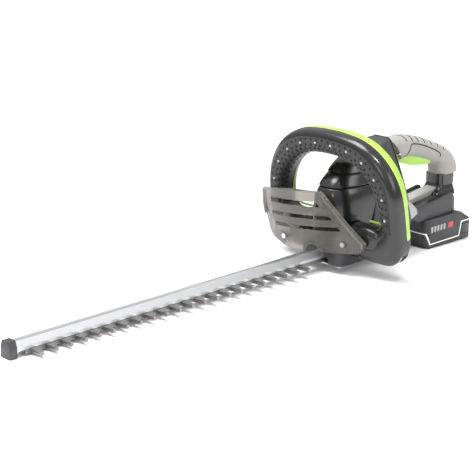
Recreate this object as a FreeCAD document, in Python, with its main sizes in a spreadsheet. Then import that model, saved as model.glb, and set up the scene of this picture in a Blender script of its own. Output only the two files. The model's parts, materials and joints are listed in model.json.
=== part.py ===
# Cordless hedge trimmer: a double blade under an aluminium rail, a gear case, a loop
# handle with a hand guard, a rear D-handle with a trigger, and a slide-on battery.
#
# Design frame, in millimetres: X runs along the blade towards its tip, Y to the left of
# somebody holding the tool, Z up. Z is 0 at the underside of the battery. Each sub-part's
# Placement moves it by frame_shift, so that X is 0 at the middle of the whole object.
import FreeCAD, Part
import Sketcher
import math
import os

Vector = FreeCAD.Vector
Rotation = FreeCAD.Rotation
Placement = FreeCAD.Placement

DIMENSIONS = {
    "frame_shift": -4,
    "clearance": 0.1,            # between pieces that are fastened together
    "gap": 0.35,              # between pieces that move past each other
    "wall": 2.6,              # moulded casing walls
    # blade and rail
    "tip_x": 410,
    "rail_start": -138,
    "rail_floor": 22,
    "rail_height": 12,
    "rail_base": 16,
    "rail_crown": 10,
    "rail_groove": 8,
    "cap_length": 11,
    "cap_width": 18,
    "cap_floor": 15,
    "cap_height": 21,
    "blade_tip": 388,
    "blade_tail": -190,
    "blade_thick": 2.3,
    "spine_width": 17,
    "tail_width": 30,
    "tooth_first": 376,
    "tooth_pitch": 21,
    "tooth_count": 22,
    "tooth_reach": 18,
    "tooth_root": 9,
    "tooth_tip": 3.6,
    "half_stroke": 8,
    "bolt_radius": 3,
    "bolt_count": 5,
    # gear train
    "crank_x": -165,
    "crank_radius": 4,
    "motor_x": -205,
    "gear_module": 1.25,
    "pinion_teeth": 12,
    "gear_teeth": 52,
    "gear_floor": 37,
    "gear_thick": 7,
    "eccentric_radius": 13,
    "eccentric_thick": 2,
    # gear case
    "case_front": -112,
    "case_rear": -224,
    "case_half": 38,
    "case_floor": 14,
    "case_top": 50,
    "case_corner": 12,
    "plate_thick": 2,
    # motor
    "motor_radius": 21,
    "motor_floor": 56,
    "motor_length": 64,
    "shaft_radius": 2.5,
    # housing
    "housing_rear": -264,
    # loop handle
    "loop_front": -129,
    "loop_pivot_z": 60,
    "loop_split": 24,
    "loop_depth": 38,
    "loop_top": 196.5,
    "loop_floor": 22,
    "loop_half_top": 112,
    "loop_half_floor": 124,
    "loop_crown": 32.5,
    "loop_leg": 28,
    "loop_sill": 70,
    "loop_lean": 5,
    "loop_wall": 3,
    # hand guard
    "guard_radius": 190,
    "guard_side": -28,
    "guard_apex": -90,
    "guard_lean": 0.15,
    "guard_thick": 2.4,
    # rear handle
    "grip_half": 17,
    "grip_skin": 2,
    "post_front": -358,
    "post_rear": -388,
    "post_half": 15,
    "trigger_half": 9,
    "pivot_x": -257,
    "pivot_z": 146,
    "pin_radius": 2,
    # battery foot and battery
    "foot_front": -268,
    "foot_rear": -378,
    "foot_half": 33,
    "foot_floor": 43.5,
    "foot_top_front": 60,
    "foot_top_rear": 74,
    "tower_half": 21,
    "tower_top": 57,
    "battery_front": -297,
    "battery_rear": -402,
    "battery_half": 38,
    "battery_height": 43,
    "cell_radius": 9.1,
    "cell_length": 65,
    "button_half_length": 9,
}

doc = FreeCAD.newDocument("HedgeTrimmer")
sheet = doc.addObject("Spreadsheet::Sheet", "Dims")


class Size:
    """A length that knows its value and the sheet expression that gives it."""

    def __init__(self, value, text):
        self.value = float(value)
        self.text = text

    def __add__(self, other):
        return Size(self.value + number(other), f"({self.text} + {words(other)})")

    def __radd__(self, other):
        return Size(number(other) + self.value, f"({words(other)} + {self.text})")

    def __sub__(self, other):
        return Size(self.value - number(other), f"({self.text} - {words(other)})")

    def __rsub__(self, other):
        return Size(number(other) - self.value, f"({words(other)} - {self.text})")

    def __mul__(self, other):
        return Size(self.value * number(other), f"({self.text} * {words(other)})")

    def __rmul__(self, other):
        return Size(number(other) * self.value, f"({words(other)} * {self.text})")

    def __truediv__(self, other):
        return Size(self.value / number(other), f"({self.text} / {words(other)})")

    def __neg__(self):
        return Size(-self.value, f"(-1 * {self.text})")

    def __float__(self):
        return self.value


def number(size):
    return size.value if isinstance(size, Size) else float(size)


def words(size):
    return size.text if isinstance(size, Size) else repr(float(size))


def fill_sheet():
    """Write the driving dimensions into the sheet and return a Size for each."""
    sizes = {}
    for row, (alias, value) in enumerate(DIMENSIONS.items(), start=1):
        sheet.set(f"A{row}", alias)
        sheet.set(f"B{row}", str(value))
        sheet.setAlias(f"B{row}", alias)
        sizes[alias] = Size(value, f"Dims.{alias}")
    doc.recompute()
    return sizes


class Named:
    """Reads D.rail_floor as the Size of the cell with that alias."""

    def __init__(self, sizes):
        self.__dict__.update(sizes)


D = Named(fill_sheet())
subparts = []


# ---------------------------------------------------------------- shared helpers

def bind(item, path, size):
    """Bind one property of an object to the sheet."""
    if isinstance(size, Size):
        item.setExpression(path, size.text)
    else:
        setattr(item, path, size)


def place(item, at, axis="Z"):
    """Put a primitive at a point, with its own Z axis turned to the named axis."""
    turns = {
        "X": Rotation(Vector(0, 1, 0), 90),
        "Y": Rotation(Vector(1, 0, 0), -90),
        "Z": Rotation(),
    }
    item.Placement = Placement(Vector(*[number(c) for c in at]), turns[axis])
    for letter, coordinate in zip("xyz", at):
        if isinstance(coordinate, Size):
            item.setExpression(f"Placement.Base.{letter}", coordinate.text)
    return item


def box(name, size, at):
    """A Part::Box with its lowest corner at a point."""
    item = doc.addObject("Part::Box", name)
    for path, length in zip(("Length", "Width", "Height"), size):
        bind(item, path, length)
    return place(item, at)


def slab(name, x_low, x_high, half_width, z_low, z_high):
    """A box that is symmetric about the middle plane."""
    return box(name, (x_high - x_low, half_width * 2, z_high - z_low), (x_low, -half_width, z_low))


def cylinder(name, radius, height, at, axis="Z"):
    item = doc.addObject("Part::Cylinder", name)
    bind(item, "Radius", radius)
    bind(item, "Height", height)
    return place(item, at, axis)


def fuse(name, *pieces):
    item = doc.addObject("Part::MultiFuse", name)
    item.Shapes = list(pieces)
    return item


def cut(name, base, *tools):
    item = doc.addObject("Part::Cut", name)
    item.Base = base
    item.Tool = tools[0] if len(tools) == 1 else fuse(name + "Tools", *tools)
    return item


def common(name, first, second):
    item = doc.addObject("Part::MultiCommon", name)
    item.Shapes = [first, second]
    return item


def feature(name, shape):
    """A Part::Feature for a shape that no primitive or feature makes."""
    item = doc.addObject("Part::Feature", name)
    item.Shape = shape
    return item


def subpart(item, label):
    """Name a finished piece and move it into the frame of the whole object."""
    item.Label = label
    bound = [entry[1] for entry in item.ExpressionEngine if entry[0].endswith("Placement.Base.x")]
    start = bound[0] if bound else repr(item.Placement.Base.x)
    item.setExpression("Placement.Base.x", f"{start} + Dims.frame_shift")
    subparts.append(item)
    return item


def points_line(points):
    return [Vector(*point) for point in points]


def rounded_wire(points, radii):
    """A closed wire through corner points (3-D), each corner rounded by its radius."""
    corners = points_line(points)
    count = len(corners)
    starts, ends, middles = [], [], []
    for index, corner in enumerate(corners):
        back = (corners[index - 1] - corner).normalize()
        ahead = (corners[(index + 1) % count] - corner).normalize()
        radius = radii[index] if isinstance(radii, (list, tuple)) else radii
        half = back.getAngle(ahead) / 2
        reach = radius / math.tan(half) if radius else 0
        starts.append(corner + back * reach)
        ends.append(corner + ahead * reach)
        inward = (back + ahead).normalize()
        middles.append(corner + inward * (radius / math.sin(half) - radius) if radius else corner)
    edges = []
    for index in range(count):
        if (ends[index] - starts[index]).Length > 1e-6:
            edges.append(Part.Arc(starts[index], middles[index], ends[index]).toShape())
        following = starts[(index + 1) % count]
        if (following - ends[index]).Length > 1e-6:
            edges.append(Part.makeLine(ends[index], following))
    return Part.Wire(edges)


def prism(points, radii, vector):
    """A solid pushed out from a rounded outline."""
    return Part.Face(rounded_wire(points, radii)).extrude(Vector(*vector))


def side_prism(outline, radii, half_width):
    """A solid from a side-view outline of (x, z) points, symmetric about the middle plane."""
    return prism([(x, -half_width, z) for x, z in outline], radii, (0, 2 * half_width, 0))


def block(x_low, x_high, y_low, y_high, z_low, z_high):
    return Part.makeBox(x_high - x_low, y_high - y_low, z_high - z_low, Vector(x_low, y_low, z_low))


def rod(radius, start, end):
    """A plain cylinder between two points."""
    axis = Vector(*end) - Vector(*start)
    return Part.makeCylinder(radius, axis.Length, Vector(*start), axis)


def coil(radius, wire, height, turns, base):
    """A compression spring standing on a point."""
    path = Part.makeHelix(height / turns, height, radius)
    section = Part.Wire(Part.makeCircle(wire, Vector(radius, 0, 0), Vector(0, 1, 0)))
    spring = Part.Wire(path).makePipeShell([section], True, True)
    spring.translate(Vector(*base))
    return spring


# ---------------------------------------------------------------- PartDesign helpers

def new_sketch(body, role, name, height=0):
    """A sketch on one of the body's own origin planes, lifted along its normal."""
    sketch = body.newObject("Sketcher::SketchObject", name)
    plane = next(item for item in body.Origin.OriginFeatures if item.Role == role)
    sketch.AttachmentSupport = (plane, [""])
    sketch.MapMode = "FlatFace"
    sketch.AttachmentOffset = Placement(Vector(0, 0, number(height)), Rotation())
    if isinstance(height, Size):
        sketch.setExpression("AttachmentOffset.Base.z", height.text)
    return sketch


def pin_point(sketch, geometry, position, point):
    """Hold one point of a sketch at bound distances from the sketch's origin."""
    for kind, coordinate in zip(("DistanceX", "DistanceY"), point):
        index = sketch.addConstraint(
            Sketcher.Constraint(kind, -1, 1, geometry, position, number(coordinate)))
        if isinstance(coordinate, Size):
            sketch.setExpression(f"Constraints[{index}]", coordinate.text)


def draw_polygon(sketch, points):
    """A closed polygon whose corners are bound to the sheet."""
    flat = [Vector(number(u), number(v), 0) for u, v in points]
    first = sketch.GeometryCount
    for index, start in enumerate(flat):
        sketch.addGeometry(Part.LineSegment(start, flat[(index + 1) % len(flat)]), False)
    for index, point in enumerate(points):
        following = first + (index + 1) % len(points)
        sketch.addConstraint(Sketcher.Constraint("Coincident", first + index, 2, following, 1))
    for index, point in enumerate(points):
        pin_point(sketch, first + index, 1, point)


def draw_circle(sketch, centre, radius):
    index = sketch.addGeometry(
        Part.Circle(Vector(number(centre[0]), number(centre[1]), 0), Vector(0, 0, 1), number(radius)),
        False)
    pin_point(sketch, index, 3, centre)
    hold = sketch.addConstraint(Sketcher.Constraint("Radius", index, number(radius)))
    if isinstance(radius, Size):
        sketch.setExpression(f"Constraints[{hold}]", radius.text)


def rectangle(x_low, x_high, half_width):
    return [(x_low, -half_width), (x_high, -half_width), (x_high, half_width), (x_low, half_width)]


def new_body(name):
    return doc.addObject("PartDesign::Body", name)


def pad(body, sketch, length, name):
    item = body.newObject("PartDesign::Pad", name)
    item.Profile = sketch
    bind(item, "Length", length)
    sketch.Visibility = False
    return item


def pocket_through(body, sketch, name):
    """Cut a sketch through the whole body, both ways."""
    item = body.newObject("PartDesign::Pocket", name)
    item.Profile = sketch
    item.Type = "ThroughAll"
    item.Midplane = True
    sketch.Visibility = False
    return item


def repeat_along_x(body, original, spacing_total, count, name):
    """Repeat a feature along the body's own X axis, towards the handle."""
    item = body.newObject("PartDesign::LinearPattern", name)
    item.Originals = [original]
    axis = next(part for part in body.Origin.OriginFeatures if part.Role == "X_Axis")
    item.Direction = (axis, [""])
    item.Reversed = True
    bind(item, "Length", spacing_total)
    item.Occurrences = int(number(count))
    item.setExpression("Occurrences", count.text)
    body.Tip = item
    return item


# ---------------------------------------------------------------- blade, rail and cap

UPPER_BLADE_FLOOR = D.rail_floor - D.gap - D.blade_thick
LOWER_BLADE_FLOOR = UPPER_BLADE_FLOOR - D.gap - D.blade_thick
BOLT_SPACING = 105


def bolt_stations():
    """X of each bolt that holds the blades up against the rail."""
    count = int(number(D.bolt_count))
    return [number(D.blade_tip) - 38 - BOLT_SPACING * index for index in range(count)]


def make_blade(label, floor):
    """A flat blade with teeth on both sides, bolt slots, and a slot for the crank shaft."""
    body = new_body(label + "_body")
    outline = new_sketch(body, "XY_Plane", label + "_spine", floor)
    draw_polygon(outline, rectangle(D.blade_tail, D.blade_tip, D.spine_width / 2))
    pad(body, outline, D.blade_thick, label + "_spine_pad")
    tail = new_sketch(body, "XY_Plane", label + "_tail", floor)
    draw_polygon(tail, rectangle(D.blade_tail, D.blade_tail + 50, D.tail_width / 2))
    pad(body, tail, D.blade_thick, label + "_tail_pad")
    teeth = new_sketch(body, "XY_Plane", label + "_tooth", floor)
    inner, outer = D.spine_width / 2 - 0.5, D.spine_width / 2 + D.tooth_reach
    for side in (1, -1):
        draw_polygon(teeth, [
            (D.tooth_first - D.tooth_root / 2, inner * side),
            (D.tooth_first + D.tooth_root / 2, inner * side),
            (D.tooth_first + D.tooth_tip / 2, outer * side),
            (D.tooth_first - D.tooth_tip / 2, outer * side)])
    tooth = pad(body, teeth, D.blade_thick, label + "_tooth_pad")
    repeat_along_x(body, tooth, D.tooth_pitch * (D.tooth_count - 1), D.tooth_count, label + "_teeth")
    slots = new_sketch(body, "XY_Plane", label + "_slots", floor)
    slot_half = D.bolt_radius + D.half_stroke + D.gap
    for station in bolt_stations():
        draw_polygon(slots, rectangle(station - slot_half, station + slot_half, D.bolt_radius + D.gap))
    crank_half = D.crank_radius + D.half_stroke + D.gap
    slot_half = D.crank_radius + D.gap
    draw_polygon(slots, rectangle(D.crank_x - crank_half, D.crank_x + crank_half, slot_half))
    pocket_through(body, slots, label + "_slot_pocket")
    return subpart(body, label)


def rail_outline(grow=0.0):
    """Half-widths and heights of the rail's section, grown by a clearance."""
    base, crown = D.rail_base / 2 + grow, D.rail_crown / 2 + grow
    low, high = D.rail_floor - grow, D.rail_floor + D.rail_height + grow
    knee = D.rail_floor + D.rail_height / 3
    return [(-base, low), (base, low), (base, knee), (crown, high), (-crown, high), (-base, knee)]


def make_rail():
    """The extruded rail that stiffens the blades, drilled from below for the bolts."""
    body = new_body("rail_body")
    section = new_sketch(body, "YZ_Plane", "rail_section", D.rail_start)
    draw_polygon(section, rail_outline())
    pad(body, section, D.tip_x - 3 - D.rail_start, "rail_pad")
    holes = new_sketch(body, "XY_Plane", "rail_holes", D.rail_floor)
    for station in bolt_stations():
        draw_circle(holes, (station, 0), D.bolt_radius)
    drilled = body.newObject("PartDesign::Pocket", "rail_hole_pocket")
    drilled.Profile = holes
    bind(drilled, "Length", D.rail_groove)
    drilled.Reversed = True
    holes.Visibility = False
    return subpart(body, "blade_rail")


def make_rail_cap():
    """The moulded end cap that sleeves over the rail's tip."""
    body = new_body("cap_body")
    outer = new_sketch(body, "YZ_Plane", "cap_section", D.tip_x - D.cap_length)
    half, top = D.cap_width / 2, D.cap_floor + D.cap_height
    shoulder = D.cap_floor + D.cap_height * 0.62
    draw_polygon(outer, [(-half, D.cap_floor), (half, D.cap_floor), (half, shoulder),
                         (half - 3, top), (-half + 3, top), (-half, shoulder)])
    pad(body, outer, D.cap_length, "cap_pad")
    bore = new_sketch(body, "YZ_Plane", "cap_bore", D.tip_x - D.cap_length)
    draw_polygon(bore, rail_outline(D.clearance))
    hollow = body.newObject("PartDesign::Pocket", "cap_hollow")
    hollow.Profile = bore
    bind(hollow, "Length", D.cap_length - 3 + D.clearance)
    hollow.Reversed = True
    bore.Visibility = False
    return subpart(body, "rail_end_cap")


def make_blade_bolts():
    """Shoulder bolts through both blades into the rail, as one group."""
    bolts = []
    head_top = LOWER_BLADE_FLOOR - D.gap
    for index, station in enumerate(bolt_stations()):
        head = cylinder(f"bolt_head_{index}", D.bolt_radius + 2, 1.2, (station, 0, head_top - 1.2))
        shank = cylinder(f"bolt_shank_{index}", D.bolt_radius,
                         D.rail_floor + D.rail_groove - head_top - 0.2, (station, 0, head_top - 0.2))
        bolts.append(fuse(f"bolt_{index}", head, shank))
    group = doc.addObject("Part::Compound", "bolt_group")
    group.Links = bolts
    return subpart(group, "blade_bolts")


# ---------------------------------------------------------------- gear train

def gear_points(teeth, module, phase):
    """The outline of an involute gear, with three points along each flank."""
    pressure = math.radians(25)
    pitch = teeth * module / 2
    base = pitch * math.cos(pressure)
    root, tip = pitch - 1.1 * module, pitch + 0.8 * module
    backlash = 0.12 / pitch

    def half_angle(radius):
        local = math.acos(min(1.0, base / radius))
        spread = (math.tan(pressure) - pressure) - (math.tan(local) - local)
        return math.pi / (2 * teeth) - backlash + spread

    flank = [max(root, base), pitch, tip]
    points = []
    for tooth in range(teeth):
        middle = phase + 2 * math.pi * tooth / teeth
        rising = [(radius, middle - half_angle(radius)) for radius in flank]
        falling = [(radius, middle + half_angle(radius)) for radius in reversed(flank)]
        foot = [(root, rising[0][1])] if base > root else []
        heel = [(root, falling[-1][1])] if base > root else []
        points += foot + rising + falling + heel
    return [(radius * math.cos(angle), radius * math.sin(angle)) for radius, angle in points]


def gear_solid(teeth, phase, x, bore, floor, thick):
    """A spur gear on a vertical axis."""
    outline = [Vector(x + u, v, floor) for u, v in gear_points(teeth, number(D.gear_module), phase)]
    solid = Part.Face(Part.makePolygon(outline + outline[:1])).extrude(Vector(0, 0, thick))
    return solid.cut(Part.makeCylinder(bore, thick, Vector(x, 0, floor)))


def make_drive_gear():
    crank_x = number(D.crank_x)
    floor, thick = number(D.gear_floor), number(D.gear_thick)
    gear = gear_solid(int(number(D.gear_teeth)), 0, crank_x, number(D.crank_radius), floor, thick)
    for index in range(6):
        angle = math.radians(30 + 60 * index)
        hole_at = Vector(crank_x + 19 * math.cos(angle), 19 * math.sin(angle), floor)
        gear = gear.cut(Part.makeCylinder(5, thick, hole_at))
    return subpart(feature("drive_gear_shape", gear), "drive_gear")


def make_pinion():
    teeth = int(number(D.pinion_teeth))
    pinion = gear_solid(teeth, math.pi / teeth, number(D.motor_x), number(D.shaft_radius),
                        number(D.gear_floor) - 0.5, number(D.gear_thick) + 1)
    return subpart(feature("pinion_shape", pinion), "pinion")


def make_crank():
    """The upright shaft and the two opposed eccentrics that drive the blades."""
    floor, top = D.case_floor + D.gap, D.case_top - 0.3
    shaft = cylinder("crank_rod", D.crank_radius, top - floor, (D.crank_x, 0, floor))
    subpart(shaft, "crank_shaft")
    levels = {
        "eccentric_upper": (1, D.rail_floor),
        "eccentric_lower": (-1, D.case_floor + D.gap),
    }
    for label, (side, level) in levels.items():
        disc = cylinder(label + "_disc", D.eccentric_radius, D.eccentric_thick,
                        (D.crank_x, D.half_stroke * side, level))
        bore = cylinder(label + "_bore", D.crank_radius, D.eccentric_thick, (D.crank_x, 0, level))
        subpart(cut(label + "_cut", disc, bore), label)


def make_bearings():
    """Two ball bearings, drawn as plain rings, that carry the crank shaft."""
    rings = []
    for index, (low, high) in enumerate(((29, 34), (45.5, D.case_top - 0.3))):
        outer = cylinder(f"bearing_outer_{index}", 8, high - low, (D.crank_x, 0, low))
        bore = cylinder(f"bearing_bore_{index}", D.crank_radius + 0.05, high - low, (D.crank_x, 0, low))
        rings.append(cut(f"bearing_{index}", outer, bore))
    group = doc.addObject("Part::Compound", "bearing_group")
    group.Links = rings
    return subpart(group, "crank_bearings")


# ---------------------------------------------------------------- gear case

def case_block(name, grow, floor, top):
    """The gear case's outer block with rounded upright edges."""
    front, rear = number(D.case_front) + grow, number(D.case_rear) - grow
    half = number(D.case_half) + grow
    corners = [(front, -half, floor), (front, half, floor), (rear, half, floor), (rear, -half, floor)]
    return prism(corners, number(D.case_corner) + grow, (0, 0, top - floor))


def make_gear_case():
    """The dark lower casting, with room for the blades' tails, the crank and the gears."""
    crank_x, motor_x = number(D.crank_x), number(D.motor_x)
    floor, top = number(D.case_floor), number(D.case_top)
    clear = number(D.clearance)
    solid = case_block("case", 0, floor, top)
    front = number(D.case_front) + 1
    tail = number(D.tail_width) / 2 + 0.5
    gear_radius = number(D.gear_module) * (number(D.gear_teeth) / 2 + 0.8) + 0.8
    pinion_radius = number(D.gear_module) * (number(D.pinion_teeth) / 2 + 0.8) + 0.8
    sweep = number(D.eccentric_radius) + number(D.half_stroke) + 0.6
    rail = rail_outline(D.clearance)
    rail_slot = prism([(number(D.rail_start) - clear, number(y), number(z)) for y, z in rail], 0,
                      (front - number(D.rail_start) + clear, 0, 0))
    bearing = Part.makeCylinder(8 + 0.02, top, Vector(crank_x, 0, 29))
    tools = [
        block(number(D.blade_tail) - 10, front, -tail, tail, floor - 1, number(D.rail_floor)),
        Part.makeCylinder(sweep, 26.5 - floor + 1, Vector(crank_x, 0, floor - 1)),
        Part.makeCylinder(gear_radius, 9.5, Vector(crank_x, 0, 36)),
        Part.makeCylinder(pinion_radius, top - 36 + 1, Vector(motor_x, 0, 36)),
        rail_slot,
        bearing,
        Part.makeCylinder(number(D.crank_radius) + 0.5, 20, Vector(crank_x, 0, 20)),
    ]
    for tool in tools:
        solid = solid.cut(tool)
    return subpart(feature("gear_case_shape", solid), "gear_case")


def make_base_plate():
    """The steel plate under the gear case, and its screws."""
    inset = 4
    floor = D.case_floor - D.plate_thick
    plate = slab("plate_slab", D.case_rear + inset, D.case_front - inset, D.case_half - inset,
                 floor, D.case_floor)
    holes, screws = [], []
    for index, (x, y) in enumerate(((-122, 29), (-122, -29), (-214, 29), (-214, -29))):
        holes.append(cylinder(f"plate_hole_{index}", 2, D.plate_thick, (x, y, floor)))
        screws.append(cylinder(f"plate_screw_{index}", 1.95, D.plate_thick, (x, y, floor)))
        screws[-1] = fuse(f"plate_bolt_{index}", screws[-1],
                          cylinder(f"plate_head_{index}", 3.6, 1.4, (x, y, floor - 1.4)))
    subpart(cut("plate_cut", plate, *holes), "base_plate")
    group = doc.addObject("Part::Compound", "plate_screw_group")
    group.Links = screws
    return subpart(group, "base_plate_screws")


# ---------------------------------------------------------------- motor

def make_motor():
    """The upright motor: can, end cap, mounting plate, rotor, shaft and cooling fan."""
    x, radius, floor = D.motor_x, D.motor_radius, D.motor_floor
    top = floor + D.motor_length
    skin = 1.5
    can = cut("can_cut", cylinder("can_outer", radius, D.motor_length, (x, 0, floor)),
              cylinder("can_inner", radius - skin, D.motor_length - skin, (x, 0, floor + skin)),
              cylinder("can_hole", D.shaft_radius + 0.05, 4, (x, 0, floor - 1)))
    subpart(can, "motor_can")
    cap = cut("cap_ring", cylinder("end_cap_disc", radius - skin - D.clearance, 8, (x, 0, top - 8)),
              cylinder("end_cap_hole", D.shaft_radius + 0.05, 10, (x, 0, top - 9)))
    subpart(cap, "motor_end_cap")
    mount = cut("mount_cut", slab("mount_slab", x - 28, x + 25, 26, D.case_top + 2, floor - D.clearance),
                cylinder("mount_hole", 9, 12, (x, 0, D.case_top)))
    subpart(mount, "motor_mount")
    tip = D.gear_floor - 0.6
    subpart(cylinder("motor_rod", D.shaft_radius, top + 14 - tip, (x, 0, tip)), "motor_shaft")
    rotor = cut("rotor_cut", cylinder("rotor_disc", radius - 6, 34, (x, 0, floor + 10)),
                cylinder("rotor_bore", D.shaft_radius, 34, (x, 0, floor + 10)))
    subpart(rotor, "motor_rotor")
    make_fan(number(x), number(top) + 3)


def make_fan(x, floor):
    """A small radial fan on the top of the motor shaft."""
    hub = Part.makeCylinder(6, 9, Vector(x, 0, floor))
    disc = Part.makeCylinder(17, 1.5, Vector(x, 0, floor))
    blades = []
    for index in range(8):
        vane = block(x + 5, x + 16.5, -0.7, 0.7, floor, floor + 8)
        vane.rotate(Vector(x, 0, 0), Vector(0, 0, 1), 45 * index)
        blades.append(vane)
    bore = Part.makeCylinder(number(D.shaft_radius), 10, Vector(x, 0, floor))
    fan = hub.multiFuse([disc] + blades).cut(bore)
    return subpart(feature("fan_shape", fan), "motor_fan")


# ---------------------------------------------------------------- hood and housing

# Section stations of the main casing: x, half-width at the bottom, half-width at the
# top, bottom and top. The hood uses the first four and the housing the last three.
BODY_STATIONS = [
    (-112, 30, 13, 50, 110),
    (-130, 33, 15, 50, 129),
    (-162, 37, 17, 50, 151),
    (-208, 40, 20, 50, 166),
    (-236, 40, 19, 50, 171),
    (-264, 35, 16, 50, 168),
]
HOOD_STEPS = (-112, -140, -172, -207.9)


def body_station(x):
    """The casing's section at any x, between the two nearest stations."""
    for nearer, farther in zip(BODY_STATIONS, BODY_STATIONS[1:]):
        if nearer[0] >= x >= farther[0]:
            part = (nearer[0] - x) / (nearer[0] - farther[0])
            return [a + (b - a) * part for a, b in zip(nearer, farther)]
    raise ValueError(f"no casing section at {x}")


def body_section(station, inset=0.0, floor=None):
    """A barrel-sided section in the plane of one x."""
    x, low_half, top_half, bottom, top = station
    low_half, top_half, top = low_half - inset, top_half - inset, top - inset
    bottom = bottom if floor is None else floor
    middle = (bottom + top) / 2 + 8
    bulge = (low_half + top_half) / 2 + 4.5
    edge = 7
    half = [(low_half, bottom), (bulge, middle), (top_half, top - edge)]
    corner = (top_half - 2, top - 2)
    crown = top_half - edge
    edges = [Part.makeLine(Vector(x, -low_half, bottom), Vector(x, low_half, bottom))]
    edges.append(Part.Arc(*[Vector(x, y, z) for y, z in half]).toShape())
    edges.append(Part.Arc(Vector(x, top_half, top - edge), Vector(x, *corner),
                          Vector(x, crown, top)).toShape())
    edges.append(Part.makeLine(Vector(x, crown, top), Vector(x, -crown, top)))
    edges.append(Part.Arc(Vector(x, -crown, top), Vector(x, -corner[0], corner[1]),
                          Vector(x, -top_half, top - edge)).toShape())
    edges.append(Part.Arc(*[Vector(x, -y, z) for y, z in reversed(half)]).toShape())
    return Part.Wire(edges)


def body_loft(stations, inset=0.0, floor=None):
    return Part.makeLoft([body_section(station, inset, floor) for station in stations], True, False)


def make_hood():
    """The black motor hood, stepped twice, that passes through the loop."""
    steps = []
    for index, (front, rear) in enumerate(zip(HOOD_STEPS, HOOD_STEPS[1:])):
        inset = 1.3 * (2 - index)
        floor = number(D.case_top) + number(D.clearance)
        steps.append(body_loft([body_station(front), body_station(rear)], inset, floor))
    outer = steps[0].multiFuse(steps[1:])
    inner_front = HOOD_STEPS[0] - number(D.wall)
    stations = [body_station(inner_front)] + BODY_STATIONS[1:3] + [body_station(HOOD_STEPS[-1])]
    inner = body_loft(stations, 2.6 + number(D.wall), number(D.case_top) - 1)
    hood = outer.cut(inner)
    return subpart(feature("hood_shape", hood), "motor_hood")


# Side-view stations of the rear handle: the top point and the bottom point of each
# section, from the housing round the bend and down to the post.
GRIP_STATIONS = [
    ((-256, 169), (-256, 139)),
    ((-281, 166.5), (-281, 136.5)),
    ((-306, 161.5), (-303, 132)),
    ((-334, 152.5), (-327, 124.5)),
    ((-362, 140.5), (-346, 116)),
    ((-386, 125), (-354, 107)),
    ((-396, 107), (-357, 100)),
    ((-398, 96), (-358, 96)),
]


def grip_section(top, bottom, half, inset):
    """A rounded rectangle through two side-view points."""
    up = Vector(top[0] - bottom[0], 0, top[1] - bottom[1]).normalize() * inset
    high = Vector(top[0], 0, top[1]) - up
    low = Vector(bottom[0], 0, bottom[1]) + up
    side = Vector(0, half - inset, 0)
    corners = [low - side, low + side, high + side, high - side]
    radius = min(11.5 - inset, (half - inset) * 0.7)
    return rounded_wire([tuple(corner) for corner in corners], radius)


def grip_loft(inset, first=0, last=None):
    wires = [grip_section(top, bottom, number(D.grip_half), inset)
             for top, bottom in GRIP_STATIONS[first:last]]
    return Part.makeLoft(wires, True, False)


def housing_outer():
    """The casing behind the loop, the handle's core, the post and the belly as one solid."""
    casing = body_loft(BODY_STATIONS[3:])
    belly = side_prism([(-208, 24), (-208, 50.5), (-264, 50.5), (-264, 44), (-250, 36)], 0, 36)
    core = grip_loft(number(D.grip_skin) + number(D.clearance))
    half = number(D.post_half)
    front, rear = number(D.post_front), number(D.post_rear)
    corners = [(front, -half, 66), (front, half, 66), (rear, half, 66), (rear, -half, 66)]
    post = prism(corners, 6, (0, 0, 31.5))
    return casing.multiFuse([belly, core, post])


def housing_hollow():
    """Everything that the housing's halves leave open inside."""
    wall = number(D.wall)
    skin = number(D.grip_skin) + number(D.clearance)
    inner_rear = number(D.housing_rear) + wall
    stations = [BODY_STATIONS[3], BODY_STATIONS[4], body_station(inner_rear)]
    front = list(BODY_STATIONS[3])
    front[0] = front[0] + 1
    stations = [front] + stations
    room = body_loft(stations, wall, 44)
    channel = grip_loft(skin + wall, 0, 6)
    duct = block(number(D.post_front) - 26, number(D.post_front) - 4, -9, 9, 64, 118)
    trigger_half = number(D.trigger_half) + number(D.gap)
    mouth = block(-342, -258, -trigger_half, trigger_half, 100, 150)
    return room.multiFuse([channel, duct, mouth])


CLAMSHELL_SCREWS = ((-236, 38), (-258, 106), (-231, 153), (-376, 84))


def clamshell_screw(outer, x, z):
    """One screw in its counterbore: the screw, the boss round it and the well it sits in."""
    surface = rod(0.2, (x, -60, z), (x, 0, z)).common(outer).BoundBox.YMin
    seat = surface + 3.2
    screw = rod(1.8, (x, seat - 0.1, z), (x, 9, z)).fuse(rod(3.3, (x, surface + 1, z), (x, seat, z)))
    boss = rod(4.6, (x, -60, z), (x, 60, z)).common(outer)
    well = rod(3.4, (x, surface - 8, z), (x, seat, z))
    return screw, boss, well


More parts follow.
